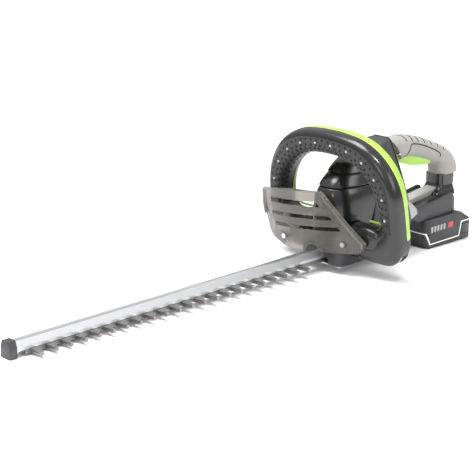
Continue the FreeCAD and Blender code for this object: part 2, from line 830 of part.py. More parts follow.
def make_housing():
    """The two clamshell halves, which meet on the middle plane, and what joins them."""
    outer = housing_outer()
    shell = outer.cut(housing_hollow())
    screws = []
    for x, z in CLAMSHELL_SCREWS:
        screw, boss, well = clamshell_screw(outer, x, z)
        shell = shell.fuse(boss).cut(well).cut(screw)
        screws.append(screw)
    subpart(feature("housing_screws_shape", Part.makeCompound(screws)), "housing_screws")
    clear = number(D.clearance)
    shell = shell.cut(case_block("envelope", clear, 0, number(D.case_top) + clear))
    bosses = []
    for side in (1, -1):
        boss = rod(5, (number(D.pivot_x), 10 * side, number(D.pivot_z)),
                   (number(D.pivot_x), 19 * side, number(D.pivot_z)))
        bosses.append(boss.common(body_loft(BODY_STATIONS[3:])))
    shell = shell.multiFuse(bosses)
    pin = rod(number(D.pin_radius), (number(D.pivot_x), -17, number(D.pivot_z)),
              (number(D.pivot_x), 17, number(D.pivot_z)))
    shell = shell.cut(pin)
    seam = 0.05
    halves = {
        "housing_left": block(-450, 0, seam, 80, 0, 250),
        "housing_right": block(-450, 0, -80, -seam, 0, 250),
    }
    for label, side in halves.items():
        subpart(feature(label + "_shape", shell.common(side)), label)
    subpart(feature("trigger_pin_shape", pin), "trigger_pin")


def make_rear_grip():
    """The soft light-grey sleeve moulded round the handle, open below for the trigger."""
    skin = number(D.grip_skin)
    sleeve = grip_loft(0.0).cut(grip_loft(skin + number(D.clearance) / 2))
    casing = body_loft([body_station(-208), BODY_STATIONS[4], BODY_STATIONS[5]], -number(D.clearance))
    mouth_half = number(D.trigger_half) + number(D.gap)
    mouth = block(-342, -258, -mouth_half, mouth_half, 100, 145)
    sleeve = sleeve.cut(casing).cut(mouth).cut(housing_outer())
    for index in range(7):
        x = -285 - 14 * index
        ridge = 166.5 - 0.0026 * (x + 270) ** 2
        groove = block(x - 0.9, x + 0.9, -13, 13, ridge - 2, ridge + 9)
        groove.rotate(Vector(x, 0, ridge), Vector(0, 1, 0), -5 - 5 * index)
        sleeve = sleeve.cut(groove)
    return subpart(feature("rear_grip_shape", sleeve), "rear_grip")


# ---------------------------------------------------------------- loop handle

# The loop's outer edge and its opening each have tight corners at the foot, wide ones at
# the shoulder and a slightly arched crown that rises above the shoulder line.
OUTER_FOOT_RADIUS = 30
OUTER_SHOULDER_RADIUS = 87
OUTER_CROWN_RADIUS = 300
OUTER_SHOULDER_DROP = 11.5
OUTER_CROWN_RISE = 2
OPENING_FOOT_RADIUS = 16
OPENING_SHOULDER_RADIUS = 75
OPENING_CROWN_RADIUS = 200
OPENING_SHOULDER_DROP = 6
OPENING_CROWN_RISE = 0.8
OPENING_SIDE_TAPER = 5


def loop_outline(inset):
    """Corner points (y, z) and radii of the loop's outer edge, pulled in by an inset."""
    top, floor = number(D.loop_top) - inset, number(D.loop_floor) + inset
    half_top, half_floor = number(D.loop_half_top) - inset, number(D.loop_half_floor) - inset
    shoulder = top - OUTER_SHOULDER_DROP
    points = [(-half_floor, floor), (half_floor, floor), (half_top, shoulder),
              (0, top + OUTER_CROWN_RISE), (-half_top, shoulder)]
    foot_radius, shoulder_radius = OUTER_FOOT_RADIUS - inset, OUTER_SHOULDER_RADIUS - inset
    return points, [foot_radius, foot_radius, shoulder_radius, OUTER_CROWN_RADIUS, shoulder_radius]


def opening_outline(inset):
    """The same for the opening, which an inset makes larger."""
    top = number(D.loop_top) - number(D.loop_crown) + inset
    floor = number(D.loop_sill) - inset
    half_top = number(D.loop_half_top) - number(D.loop_leg) + inset
    half_floor = number(D.loop_half_floor) - number(D.loop_leg) - OPENING_SIDE_TAPER + inset
    shoulder = top - OPENING_SHOULDER_DROP
    points = [(-half_floor, floor), (half_floor, floor), (half_top, shoulder),
              (0, top + OPENING_CROWN_RISE), (-half_top, shoulder)]
    foot_radius, shoulder_radius = OPENING_FOOT_RADIUS + inset, OPENING_SHOULDER_RADIUS + inset
    return points, [foot_radius, foot_radius, shoulder_radius, OPENING_CROWN_RADIUS, shoulder_radius]


def loop_prism(outline, front, rear):
    """A prism of a (y, z) outline between two depths behind the loop's front face."""
    points, radii = outline
    x = number(D.loop_front) - front
    return prism([(x, y, z) for y, z in points], radii, (front - rear, 0, 0))


def loop_ring(front, rear, inset=0.0):
    return loop_prism(loop_outline(inset), front, rear).cut(
        loop_prism(opening_outline(inset), front - 1, rear + 1))


def lean(shape):
    """Tip a loop piece forwards about the foot of its front face."""
    shape.rotate(Vector(number(D.loop_front), 0, number(D.loop_pivot_z)), Vector(0, 1, 0),
                 number(D.loop_lean))
    return shape


def rounded_edges(shape, x, radius, near=None):
    """Round the edges in one plane of constant x, or only those that lie on one wire."""
    edges = [edge for edge in shape.Edges if all(abs(v.X - x) < 1e-6 for v in edge.Vertexes)]
    if near is not None:
        edges = [edge for edge in edges if near.distToShape(Part.Vertex(edge.valueAt(
            (edge.FirstParameter + edge.LastParameter) / 2)))[0] < 1e-4]
    return shape.makeFillet(radius, edges)


def loop_half(front, rear, face_x, wall):
    """One moulding of the loop: well rounded outside, less inside, and hollow."""
    outer = rounded_edges(loop_prism(loop_outline(0), front, rear), face_x, 9)
    outer = outer.cut(loop_prism(opening_outline(0), front - 1, rear + 1))
    points, radii = opening_outline(0)
    rim = rounded_wire([(face_x, y, z) for y, z in points], radii)
    outer = rounded_edges(outer, face_x, 4, rim)
    inner_front = front + (wall + 1.5 if face_x > number(D.loop_front) - 1 else -1)
    inner_rear = rear + (1 if face_x > number(D.loop_front) - 1 else -wall)
    return outer.cut(loop_ring(inner_front, inner_rear, wall + 2.4))


def switch_bar_slot(grow):
    """The space of the front switch bar, in the loop before it is tipped forwards."""
    x = number(D.loop_front)
    low = number(D.loop_top) - number(D.loop_crown)
    return block(x - 33 - grow, x - 19 + grow, -34 - grow, 34 + grow, low - 9 - grow, low + 9 + grow)


def make_loop():
    """The loop's two hollow mouldings and the soft studded face let into the front one."""
    split, depth = number(D.loop_split), number(D.loop_depth)
    wall, clear = number(D.loop_wall), number(D.clearance)
    x = number(D.loop_front)
    envelope = case_block("loop_envelope", clear, 0, 60).fuse(body_loft(BODY_STATIONS[:4], -clear, 45))
    slot = switch_bar_slot(number(D.gap))
    pieces = {
        "loop_front": loop_half(0, split, x, wall),
        "loop_rear": loop_half(split + clear, depth, x - depth, wall),
    }
    for label, half in pieces.items():
        shell = lean(half.cut(slot)).cut(envelope)
        for screw in guard_screw_shapes():
            shell = shell.cut(screw)
        if label == "loop_front":
            shell = shell.cut(lean(stud_recess(clear)))
        subpart(feature(label + "_shape", shell), label)
    make_loop_studs()


def stud_recess(grow):
    """The shallow recess in the loop's front face that holds the soft insert."""
    x = number(D.loop_front)
    ring = loop_prism(loop_outline(9.2 - grow), -1, 1.4 + grow).cut(
        loop_prism(opening_outline(4.2 - grow), -2, 2.4 + grow))
    above = block(x - 20, x + 20, -150, 150, 70 - grow, 250)
    return ring.common(above)


def make_loop_studs():
    """The soft insert with its rows of round studs along the loop."""
    x = number(D.loop_front)
    pad_face = stud_recess(0).common(block(x - 20, x, -150, 150, 0, 250))
    studs = []
    line = Part.Wire(rounded_wire(*loop_path(14.0)))
    points = line.discretize(Number=74)
    for point in points:
        if point.z < 76:
            continue
        studs.append(Part.makeCone(1.5, 0.9, 0.9, Vector(x - 0.1, point.y, point.z), Vector(1, 0, 0)))
    return subpart(feature("stud_shape", lean(pad_face.multiFuse(studs))), "loop_soft_insert")


def loop_path(inset):
    points, radii = loop_outline(inset)
    return [(number(D.loop_front), y, z) for y, z in points], radii


def make_switch_bar():
    """The squeeze bar under the top of the loop, with its springs and its switch."""
    x = number(D.loop_front)
    low = number(D.loop_top) - number(D.loop_crown)
    bar = block(x - 32, x - 20, -32, 32, low - 5, low + 3.5)
    bar = bar.makeFillet(2, [edge for edge in bar.Edges if abs(edge.BoundBox.ZMax - (low - 5)) < 1e-6])
    flange = block(x - 32.5, x - 19.5, -33.5, 33.5, low + 3.5, low + 5.5)
    subpart(feature("front_switch_bar_shape", lean(bar.fuse(flange))), "front_switch_bar")
    springs = []
    for side in (1, -1):
        springs.append(lean(coil(2.6, 0.45, 11, 5, (x - 26, 24 * side, low + 6.2))))
    subpart(feature("switch_springs_shape", Part.makeCompound(springs)), "front_switch_springs")
    switch = block(x - 29.5, x - 22.5, -10, 10, low + 11, low + 21)
    subpart(feature("front_switch_shape", lean(switch)), "front_microswitch")


# ---------------------------------------------------------------- hand guard

def guard_band(proud, thick, low, high):
    """A leaning cylindrical band between two heights, standing proud of the guard's face."""
    radius = number(D.guard_radius) + proud
    centre_y = number(D.guard_side)
    slope = number(D.guard_lean)
    centre_x = number(D.guard_apex) - number(D.guard_radius) + slope * (low - 75)

    def on(arc_radius, degrees):
        angle = math.radians(degrees)
        return Vector(centre_x + arc_radius * math.cos(angle),
                      centre_y + arc_radius * math.sin(angle), low)

    outer = Part.Arc(on(radius, -30), on(radius, 5), on(radius, 42)).toShape()
    inner = Part.Arc(on(radius - thick, 42), on(radius - thick, 5), on(radius - thick, -30)).toShape()
    sides = [Part.makeLine(outer.Vertexes[-1].Point, inner.Vertexes[0].Point),
             Part.makeLine(inner.Vertexes[-1].Point, outer.Vertexes[0].Point)]
    wire = Part.Wire([outer, sides[0], inner, sides[1]])
    return Part.Face(wire).extrude(Vector(slope * (high - low), 0, high - low))


def guard_outline(inset=0.0):
    """The guard seen from the front: tall on the right hand, cut away on the left hand."""
    points = [(-96, 105.5 - inset), (-30, 119 - inset), (22 - inset * 0.4, 122.5 - inset),
              (75 - inset * 1.6, 52 - inset * 0.3), (66, 38), (20, 34.5), (-19, 30), (-50, 28.5),
              (-86, 38), (-100, 76)]
    radii = [3, 150, 3, 7, 7, 2, 4, 30, 20, 40]
    return [(-250, y, z) for y, z in points], radii


def guard_slot(left, right, low, high):
    """One of the long openings, which rises a little to a slanted right end."""
    rise = 0.115 * (right - left)
    points = [(-250, left, low), (-250, right + 7, low + rise), (-250, right, high + rise),
              (-250, left - 1, high)]
    return prism(points, 2, (250, 0, 0))


def make_guard():
    """The smoky shield in front of the loop, with a rim, three slots and two screw bosses."""
    thick = number(D.guard_thick)
    shield = guard_band(0, thick, 25, 125).common(prism(*guard_outline(), (250, 0, 0)))
    rim = guard_band(3, 3 + thick, 25, 125).common(
        prism(*guard_outline(), (250, 0, 0)).cut(prism(*guard_outline(2.6), (250, 0, 0))))
    rail_arch = rod(11.5, (-150, 0, 31), (0, 0, 31)).fuse(block(-150, 0, -11.5, 11.5, 10, 31))
    shield = shield.fuse(rim).cut(rail_arch)
    for left, right, low, high in ((-78, 12, 89, 96), (-76, 29, 71, 76.5), (-71, 40, 56, 61)):
        shield = shield.cut(guard_slot(left, right, low, high))
    for y, z in GUARD_SCREWS:
        shield = shield.fuse(rod(5, (number(D.loop_front) - 4, y, z), (guard_face_x(y, z) - 1, y, z)))
    shield = shield.cut(lean(loop_prism(loop_outline(-1), 0, 12)))
    for screw in guard_screw_shapes():
        shield = shield.cut(screw)
    subpart(feature("hand_guard_shape", shield), "hand_guard")
    subpart(feature("guard_screws_shape", Part.makeCompound(guard_screw_shapes())), "guard_screws")


GUARD_SCREWS = ((46, 50), (-52, 44))


def guard_screw_shapes():
    """Pan-head screws through the guard's bosses into the loop."""
    screws = []
    for y, z in GUARD_SCREWS:
        face = guard_face_x(y, z)
        shank = rod(1.9, (number(D.loop_front) - 6, y, z), (face + 0.5, y, z))
        screws.append(shank.fuse(rod(3.6, (face + 0.4, y, z), (face + 2.4, y, z))))
    return screws


def guard_face_x(y, z):
    """X of the guard's front face at one point of its outline."""
    across = y - number(D.guard_side)
    bow = math.sqrt(number(D.guard_radius) ** 2 - across ** 2) - number(D.guard_radius)
    return number(D.guard_apex) + bow + number(D.guard_lean) * (z - 75)


# ---------------------------------------------------------------- trigger

def make_trigger():
    """The lime trigger under the rear handle, its return spring and its switch."""
    x, z = number(D.pivot_x), number(D.pivot_z)
    outline = [(x + 5, z + 5), (x + 5, z - 7), (-272, 128), (-292, 121.5), (-316, 118), (-333, 117),
               (-337, 124), (-337, 131), (-300, 138), (-272, 145.5)]
    radii = [3, 3, 6, 20, 20, 3, 2, 2, 8, 4]
    body = side_prism(outline, radii, number(D.trigger_half))
    bore = rod(number(D.pin_radius) + 0.05, (x, -20, z), (x, 20, z))
    subpart(feature("trigger_shape", body.cut(bore)), "trigger")
    subpart(feature("trigger_spring_shape", coil(3, 0.5, 10.3, 5, (-322, 0, 135.8))), "trigger_spring")
    subpart(box("trigger_switch_box", (20, 12, 10), (-305, -6, 147)), "trigger_switch")


# ---------------------------------------------------------------- battery foot

def foot_plan(grow=0.0):
    front, rear = number(D.foot_front) + grow, number(D.foot_rear) - grow
    half = number(D.foot_half) + grow
    points = [(front, -half, 0), (front, half, 0), (rear, half, 0), (rear, -half, 0)]
    return prism(points, [6, 6, 20, 20], (0, 0, 120))


def make_foot():
    """The grey foot that the battery slides into from behind."""
    front, rear = number(D.foot_front), number(D.foot_rear)
    floor = number(D.foot_floor)
    top_front, top_rear = number(D.foot_top_front), number(D.foot_top_rear)
    profile = [(front - 14, floor), (front, floor + 9), (front, top_front - 3),
               (front - 12, top_front + 2), (rear + 19, top_rear), (rear + 6, 55), (rear, floor)]
    solid = side_prism(profile, [6, 3, 3, 6, 5, 20, 2], number(D.foot_half)).common(foot_plan())
    tray = side_prism([(front - 14, top_front + 1.5), (rear + 20, 67), (rear - 5, 67), (rear - 5, 95),
                       (front - 14, 95)], 0, number(D.foot_half) - 4)
    gap = number(D.gap)
    half, top = number(D.tower_half) + gap, number(D.tower_top) + gap
    head = block(rear - 5, front - 12, -half, half, 47.5 - gap, top)
    neck = block(rear - 5, front - 14, -half + 4, half - 4, floor - 1, top)
    solid = solid.cut(tray).cut(head).cut(neck).cut(housing_outer())
    subpart(feature("battery_foot_shape", solid), "battery_foot")
    strip_profile = [(-262, 57), (-262, 66), (-352, 79), (-357.8, 79), (-357.8, 70), (-282, 62.1)]
    strip = side_prism(strip_profile, 1.2, 9)
    strip = strip.cut(housing_outer())
    subpart(feature("beam_strip_shape", strip.cut(solid)), "beam_cover")
    terminals = box("terminal_box", (9, 30, 7), (front - 22, -15, 49))
    blades = [box(f"terminal_blade_{index}", (18, 0.8, 5), (front - 39, 8 * index - 0.4, 50))
              for index in (-1, 0, 1)]
    subpart(fuse("terminal_fuse", terminals, *blades), "terminal_block")
    board = box("board_box", (1.6, 44, 36), (-252, -22, 60))
    return subpart(board, "control_board")


# ---------------------------------------------------------------- battery

def battery_solid(inset):
    """The battery's outer block, pulled in by an inset for its hollow."""
    front, rear = number(D.battery_front) - inset, number(D.battery_rear) + inset
    half, height = number(D.battery_half) - inset, number(D.battery_height) - inset
    profile = [(front, 5 + inset), (front - 5, inset), (rear + 7, inset), (rear, 7 + inset),
               (rear + 2, 27), (rear + 28, height), (front, height)]
    plan = [(front, -half, 0), (front, half, 0), (rear, half, 0), (rear, -half, 0)]
    return side_prism(profile, [2, 3, 3, 3, 6, 4, 3], half).common(prism(plan, 9, (0, 0, 60)))


def seam_prism(lift):
    """Everything below the battery's stepped seam, lifted by half the trim's width."""
    front, rear = number(D.battery_front), number(D.battery_rear)
    line = [(front + 5, 22 + lift), (front - 2 - lift, 22 + lift), (front - 8 - lift, 6 + lift),
            (front - 75 + lift, 6 + lift), (front - 80 + lift, 27 + lift), (rear - 5, 27 + lift)]
    return side_prism([(front + 5, -5)] + line + [(rear - 5, -5)], 0, 60)


def make_battery():
    """The slide-on battery: two case halves, a white trim line, cells and board."""
    wall = number(D.wall)
    shell = battery_solid(0).cut(battery_solid(wall))
    button_half = number(D.button_half_length)
    gap = number(D.gap)
    button_x = number(D.battery_rear) + 15
    half = number(D.battery_half)
    opening_half = button_half + gap
    window = block(button_x - opening_half, button_x + opening_half, -60, 60, 8 - gap, 23 + gap)
    shell = shell.cut(window)
    lift = 0.8
    clear = number(D.clearance) / 2
    lower = shell.common(seam_prism(-lift - clear))
    trim = shell.common(seam_prism(lift)).cut(seam_prism(-lift))
    upper = shell.cut(seam_prism(lift + clear)).fuse(battery_tower())
    subpart(feature("battery_lower_shape", lower), "battery_case_lower")
    subpart(feature("battery_trim_shape", trim), "battery_trim")
    subpart(feature("battery_upper_shape", upper), "battery_case_upper")
    for side, hand in ((1, "left"), (-1, "right")):
        button = block(button_x - button_half, button_x + button_half, half - 2.3, half + 0.3, 8, 23)
        button = rounded_button(button)
        spring = leaf_spring(button_x, half - 4.9, half - 2.8)
        if side < 0:
            button = button.mirror(Vector(0, 0, 0), Vector(0, 1, 0))
            spring = spring.mirror(Vector(0, 0, 0), Vector(0, 1, 0))
        subpart(feature(f"battery_button_{hand}_shape", button), f"battery_button_{hand}")
        subpart(feature(f"button_spring_{hand}_shape", spring), f"button_spring_{hand}")
    make_battery_core()


def leaf_spring(x, y_ends, y_crown):
    """A bowed strip of spring steel that pushes a battery button out."""
    thick = 0.4
    outline = [(x - 7, y_ends), (x, y_crown - thick), (x + 7, y_ends), (x + 7, y_ends + thick),
               (x, y_crown), (x - 7, y_ends + thick)]
    return prism([(u, v, 13.5) for u, v in outline], 0, (0, 0, 4))


def rounded_button(button):
    """Round the four corners of a battery button that run across the battery."""
    edges = [edge for edge in button.Edges if edge.BoundBox.YLength > 1]
    return button.makeFillet(3, edges)


def make_motor_leads():
    """Two insulated leads from the control board up to the motor's end cap."""
    route = [(-249, 92), (-238, 113), (-228, 121.5), (-221, 121.5)]
    leads = []
    for y in (-8, 8):
        points = [(x, y, z) for x, z in route]
        runs = [rod(1, start, end) for start, end in zip(points, points[1:])]
        bends = [Part.makeSphere(1, Vector(*point)) for point in points[1:-1]]
        leads.append(runs[0].multiFuse(runs[1:] + bends))
    subpart(feature("motor_leads_shape", Part.makeCompound(leads)), "motor_leads")


def battery_tower():
    """The block on top of the battery that slides into the foot."""
    front, rear = number(D.battery_front), -374
    half, top, height = number(D.tower_half), number(D.tower_top), number(D.battery_height)
    head = block(rear, front, -half, half, 47.5, top)
    neck = block(rear, front, -half + 4, half - 4, height - 0.5, top)
    tower = head.fuse(neck)
    for index in (-1, 0, 1):
        tower = tower.cut(block(front - 14, front + 1, 8 * index - 1.2, 8 * index + 1.2, 49, top + 1))
    return tower


def make_battery_core():
    """Five cells in a row across the battery, and the board above them."""
    radius, length = number(D.cell_radius), number(D.cell_length)
    cells = []
    for index in range(5):
        x = number(D.battery_front) - 14 - (2 * radius + 0.4) * index
        base = (x, -length / 2, 14.2)
        cells.append(cylinder(f"cell_{index}", D.cell_radius, D.cell_length, base, "Y"))
    group = doc.addObject("Part::Compound", "cell_group")
    group.Links = cells
    subpart(group, "battery_cells")
    subpart(box("battery_board_box", (62, 56, 1.6), (-366, -28, 26)), "battery_board")


def check_and_export():
    """Stop on any failed object, then write one STEP file for each sub-part."""
    doc.recompute()
    failed = [item.Name for item in doc.Objects
              if "Invalid" in item.State or "Error" in item.State]
    if failed:
        raise RuntimeError(f"failed objects: {failed}")
    for item in subparts:
        if item.Shape.isNull() or not item.Shape.isValid() or not item.Shape.Solids:
            raise RuntimeError(f"bad shape: {item.Label}")
    os.makedirs("parts", exist_ok=True)
    for item in subparts:
        item.Shape.exportStep(os.path.join("parts", item.Label + ".step"))


make_blade("blade_upper", UPPER_BLADE_FLOOR)
make_blade("blade_lower", LOWER_BLADE_FLOOR)
make_rail()
make_rail_cap()
make_blade_bolts()
make_drive_gear()
make_pinion()
make_crank()
make_bearings()
make_gear_case()
make_base_plate()
make_motor()
make_hood()
make_housing()
make_rear_grip()
make_loop()
make_switch_bar()
make_guard()
make_trigger()
make_foot()
make_battery()
make_motor_leads()
check_and_export()
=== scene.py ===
import itertools
import json
import math

import bmesh
import bpy
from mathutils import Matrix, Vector


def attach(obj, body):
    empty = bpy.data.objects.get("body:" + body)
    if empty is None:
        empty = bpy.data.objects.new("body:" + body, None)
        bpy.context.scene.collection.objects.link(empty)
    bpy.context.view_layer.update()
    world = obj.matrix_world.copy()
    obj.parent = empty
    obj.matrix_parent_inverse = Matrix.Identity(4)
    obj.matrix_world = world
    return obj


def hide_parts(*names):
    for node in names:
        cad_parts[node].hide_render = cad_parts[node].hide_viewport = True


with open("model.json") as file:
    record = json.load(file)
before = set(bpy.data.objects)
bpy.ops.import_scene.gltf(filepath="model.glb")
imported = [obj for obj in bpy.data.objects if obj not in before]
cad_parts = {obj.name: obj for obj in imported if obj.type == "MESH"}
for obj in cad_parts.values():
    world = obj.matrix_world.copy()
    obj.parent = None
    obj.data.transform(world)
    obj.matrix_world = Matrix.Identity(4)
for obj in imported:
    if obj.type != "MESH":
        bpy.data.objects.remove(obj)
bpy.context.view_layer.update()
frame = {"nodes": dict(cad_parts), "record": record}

MM = 0.001


# ---------------------------------------------------------------- materials

class Material:
    """A procedural material: a shader, object coordinates, and helpers that add detail."""

    def __init__(self, name, roughness=0.5, metallic=0.0, specular=0.5):
        self.data = bpy.data.materials.new(name)
        self.data.use_nodes = True
        self.nodes = self.data.node_tree.nodes
        self.links = self.data.node_tree.links
        self.shader = self.nodes["Principled BSDF"]
        self.shader.inputs["Roughness"].default_value = roughness
        self.shader.inputs["Metallic"].default_value = metallic
        self.shader.inputs["Specular IOR Level"].default_value = specular
        self.coordinates = self.nodes.new("ShaderNodeTexCoord").outputs["Object"]
        self.height = None

    def noise(self, scale, detail=4.0, stretch=(1, 1, 1), roughness=0.55):
        mapping = self.nodes.new("ShaderNodeMapping")
        mapping.inputs["Scale"].default_value = stretch
        texture = self.nodes.new("ShaderNodeTexNoise")
        texture.inputs["Scale"].default_value = scale
        texture.inputs["Detail"].default_value = detail
        texture.inputs["Roughness"].default_value = roughness
        self.links.new(self.coordinates, mapping.inputs["Vector"])
        self.links.new(mapping.outputs["Vector"], texture.inputs["Vector"])
        return texture.outputs["Fac"]

    def cells(self, scale, stretch=(1, 1, 1)):
        mapping = self.nodes.new("ShaderNodeMapping")
        mapping.inputs["Scale"].default_value = stretch
        texture = self.nodes.new("ShaderNodeTexVoronoi")
        texture.inputs["Scale"].default_value = scale
        self.links.new(self.coordinates, mapping.inputs["Vector"])
        self.links.new(mapping.outputs["Vector"], texture.inputs["Vector"])
        return texture.outputs["Distance"]

    def ramp(self, source, *stops):
        """Map a 0-1 value through positions and colours (or greys)."""
        node = self.nodes.new("ShaderNodeValToRGB")
        elements = node.color_ramp.elements
        while len(elements) < len(stops):
            elements.new(0.5)
        for element, (position, colour) in zip(elements, stops):
            element.position = position
            grey = isinstance(colour, (int, float))
            element.color = (colour, colour, colour, 1) if grey else (*colour, 1)
        self.links.new(source, node.inputs["Fac"])
        return node.outputs["Color"]

    def mottle(self, colour, spread, scale=60, stretch=(1, 1, 1)):
        """Base colour that wanders a little lighter and darker."""
        dark = [channel * (1 - spread) for channel in colour]
        light = [min(1.0, channel * (1 + spread)) for channel in colour]
        output = self.ramp(self.noise(scale, 3, stretch), (0.3, dark), (0.7, light))
        self.links.new(output, self.shader.inputs["Base Color"])
        return output

    def vary_roughness(self, low, high, scale=90, stretch=(1, 1, 1)):
        output = self.ramp(self.noise(scale, 5, stretch), (0.3, low), (0.7, high))
        self.links.new(output, self.shader.inputs["Roughness"])

    def bump(self, source, strength, distance):
        """Stack one more layer of relief onto the surface."""
        node = self.nodes.new("ShaderNodeBump")
        node.inputs["Strength"].default_value = strength
        node.inputs["Distance"].default_value = distance
        self.links.new(source, node.inputs["Height"])
        if self.height is not None:
            self.links.new(self.height, node.inputs["Normal"])
        self.height = node.outputs["Normal"]
        self.links.new(self.height, self.shader.inputs["Normal"])

    def edge_wear(self, base, worn, low=0.53, high=0.6):
        """Lighten the colour where the surface is sharply convex."""
        geometry = self.nodes.new("ShaderNodeNewGeometry")
        mask = self.ramp(geometry.outputs["Pointiness"], (low, 0.0), (high, 1.0))
        mix = self.nodes.new("ShaderNodeMix")
        mix.data_type = "RGBA"
        self.links.new(mask, mix.inputs["Factor"])
        self.links.new(base, mix.inputs["A"])
        mix.inputs["B"].default_value = (*worn, 1)
        self.links.new(mix.outputs["Result"], self.shader.inputs["Base Color"])


def moulded(name, colour, roughness, grain=0.25, grain_scale=1800, spread=0.06, coat=0.0):
    """Injection-moulded plastic: fine spark-eroded grain, faint flow marks and dust."""
    material = Material(name, roughness)
    base = material.mottle(colour, spread)
    material.vary_roughness(roughness * 0.86, min(1.0, roughness * 1.18))
    material.bump(material.noise(grain_scale, 2), grain, 0.0002)
    material.bump(material.noise(35, 2), 0.05, 0.001)
    material.edge_wear(base, [min(1.0, channel * 1.35 + 0.01) for channel in colour])
    material.shader.inputs["Coat Weight"].default_value = coat
    material.shader.inputs["Coat Roughness"].default_value = 0.18
    return material.data


def soft_touch(name, colour, roughness, spread=0.05):
    """Rubbery overmould: a leathery micro-texture with a little sheen."""
    material = Material(name, roughness, specular=0.35)
    material.mottle(colour, spread, 45)
    material.vary_roughness(roughness * 0.9, min(1.0, roughness * 1.1), 120)
    material.bump(material.cells(900), 0.22, 0.0003)
    material.bump(material.noise(2600, 2), 0.2, 0.0001)
    material.shader.inputs["Sheen Weight"].default_value = 0.25
    material.shader.inputs["Sheen Roughness"].default_value = 0.45
    return material.data


def brushed(name, colour, roughness, stretch, spread=0.08, scratches=0.35):
    """Metal with fine drawn lines along one direction and a few deeper scratches."""
    material = Material(name, roughness, 1.0)
    base = material.mottle(colour, spread, 40, stretch)
    material.vary_roughness(roughness * 0.75, roughness * 1.35, 55, stretch)
    material.bump(material.noise(160, 3, stretch), scratches, 0.0001)
    material.bump(material.noise(28, 6), 0.05, 0.0003)
    material.edge_wear(base, [min(1.0, channel * 1.3) for channel in colour])
    material.shader.inputs["Anisotropic"].default_value = 0.4
    return material.data


def smoke_clear(name):
    """Smoke-tinted clear polycarbonate: tinted and dim inside, glossy on the outside."""
    material = Material(name, 0.12)
    material.mottle((0.33, 0.31, 0.28), 0.08, 25)
    material.vary_roughness(0.08, 0.2, 40)
    material.bump(material.noise(18, 2), 0.08, 0.001)
    material.shader.inputs["Transmission Weight"].default_value = 0.78
    material.shader.inputs["IOR"].default_value = 1.45
    return material.data


MATERIALS = {
    "alu_rail": brushed("drawn_aluminium", (0.50, 0.51, 0.52), 0.38, (1.5, 90, 90), 0.16),
    "blade_steel": brushed("ground_steel", (0.24, 0.235, 0.23), 0.36, (60, 3, 60), 0.25),
    "machine_steel": brushed("machined_steel", (0.50, 0.50, 0.51), 0.3, (30, 30, 3)),
    "spring_steel": brushed("spring_wire", (0.60, 0.60, 0.62), 0.22, (20, 20, 20)),
    "black_gloss": moulded("black_moulding", (0.012, 0.012, 0.013), 0.22, 0.06, 1500, 0.15, 0.3),
    "dark_casing": moulded("charcoal_moulding", (0.042, 0.042, 0.046), 0.5, 0.4, 1500, 0.12),
    "lime": moulded("lime_moulding", (0.36, 0.60, 0.075), 0.34, 0.12, 1500, 0.06, 0.15),
    "soft_black": soft_touch("black_soft_grip", (0.014, 0.014, 0.015), 0.5, 0.15),
    "soft_grey": soft_touch("warm_grey_soft_grip", (0.33, 0.315, 0.295), 0.7, 0.07),
    "smoke_clear": smoke_clear("smoke_polycarbonate"),
    "light_trim": moulded("light_grey_moulding", (0.36, 0.355, 0.345), 0.42, 0.25),
    "white_trim": moulded("white_inlay", (0.74, 0.74, 0.75), 0.3, 0.08),
    "battery_plastic": moulded("battery_moulding", (0.034, 0.034, 0.037), 0.5, 0.45, 1500, 0.12),
    "cell_wrap": moulded("cell_sleeve", (0.10, 0.22, 0.50), 0.25, 0.05),
    "board_green": moulded("circuit_board", (0.02, 0.13, 0.05), 0.4, 0.2),
    "insulation": moulded("lead_insulation", (0.40, 0.02, 0.02), 0.4, 0.1),
}
# painted shade: a near-black matte colour laid on pips, groove lines, let-in lines and vent bands
# where the real recesses would be dark
PAINTED_SHADE_BLACK = moulded("painted_recess_shade", (0.002, 0.002, 0.002), 0.8, 0.1)
INSERT_BLACK = soft_touch("stud_pad", (0.020, 0.020, 0.020), 0.36, 0.3)
# painted highlight: a light grey base colour makes the studs read as bright glinting dots; the glossy
# coat adds real reflections on top
STUD_PAINTED_GLINT = moulded("studs_painted_glint", (0.34, 0.34, 0.35), 0.12, 0.0, 1500, 0.1, 1.0)
SIGNAL_RED = moulded("red_mark", (0.42, 0.05, 0.03), 0.4, 0.1)


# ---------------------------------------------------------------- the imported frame

NODE_SLOTS = {entry["node"]: entry["material_slot"] for entry in frame["record"]["subparts"]}


def paint(piece, slot_name):
    piece.data.materials.clear()
    piece.data.materials.append(MATERIALS[slot_name])


def dress_frame():
    """Give every CAD node its material."""
    for name, piece in frame["nodes"].items():
        paint(piece, NODE_SLOTS[name])


# ---------------------------------------------------------------- mesh helpers

def add_piece(name, mesh, slot_name, body="body", sharp_angle=40, own_material=None):
    """Link a mesh as a smooth-shaded piece that rides on a body."""
    tidy = bmesh.new()
    tidy.from_mesh(mesh)
    bmesh.ops.recalc_face_normals(tidy, faces=tidy.faces)
    tidy.to_mesh(mesh)
    tidy.free()
    mesh.shade_smooth()
    mesh.set_sharp_from_angle(angle=math.radians(sharp_angle))
    piece = bpy.data.objects.new(name, mesh)
    bpy.context.scene.collection.objects.link(piece)
    mesh.materials.clear()
    mesh.materials.append(own_material or MATERIALS[slot_name])
    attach(piece, body)
    return piece


def loft_faces(rows, count):
    """Quads between neighbouring closed rings, and a cap on each end."""
    faces = []
    for row in range(rows - 1):
        here = row * count
        there = here + count
        for index in range(count):
            after = (index + 1) % count
            faces.append((here + index, here + after, there + after, there + index))
    faces.append(tuple(reversed(range(count))))
    faces.append(tuple(range((rows - 1) * count, rows * count)))
    return faces


def loft(name, rings, slot_name, **options):
    """A closed skin over rings of points in millimetres."""
    mesh = bpy.data.meshes.new(name)
    vertices = [Vector(point) * MM for ring in rings for point in ring]
    mesh.from_pydata(vertices, [], loft_faces(len(rings), len(rings[0])))
    return add_piece(name, mesh, slot_name, **options)


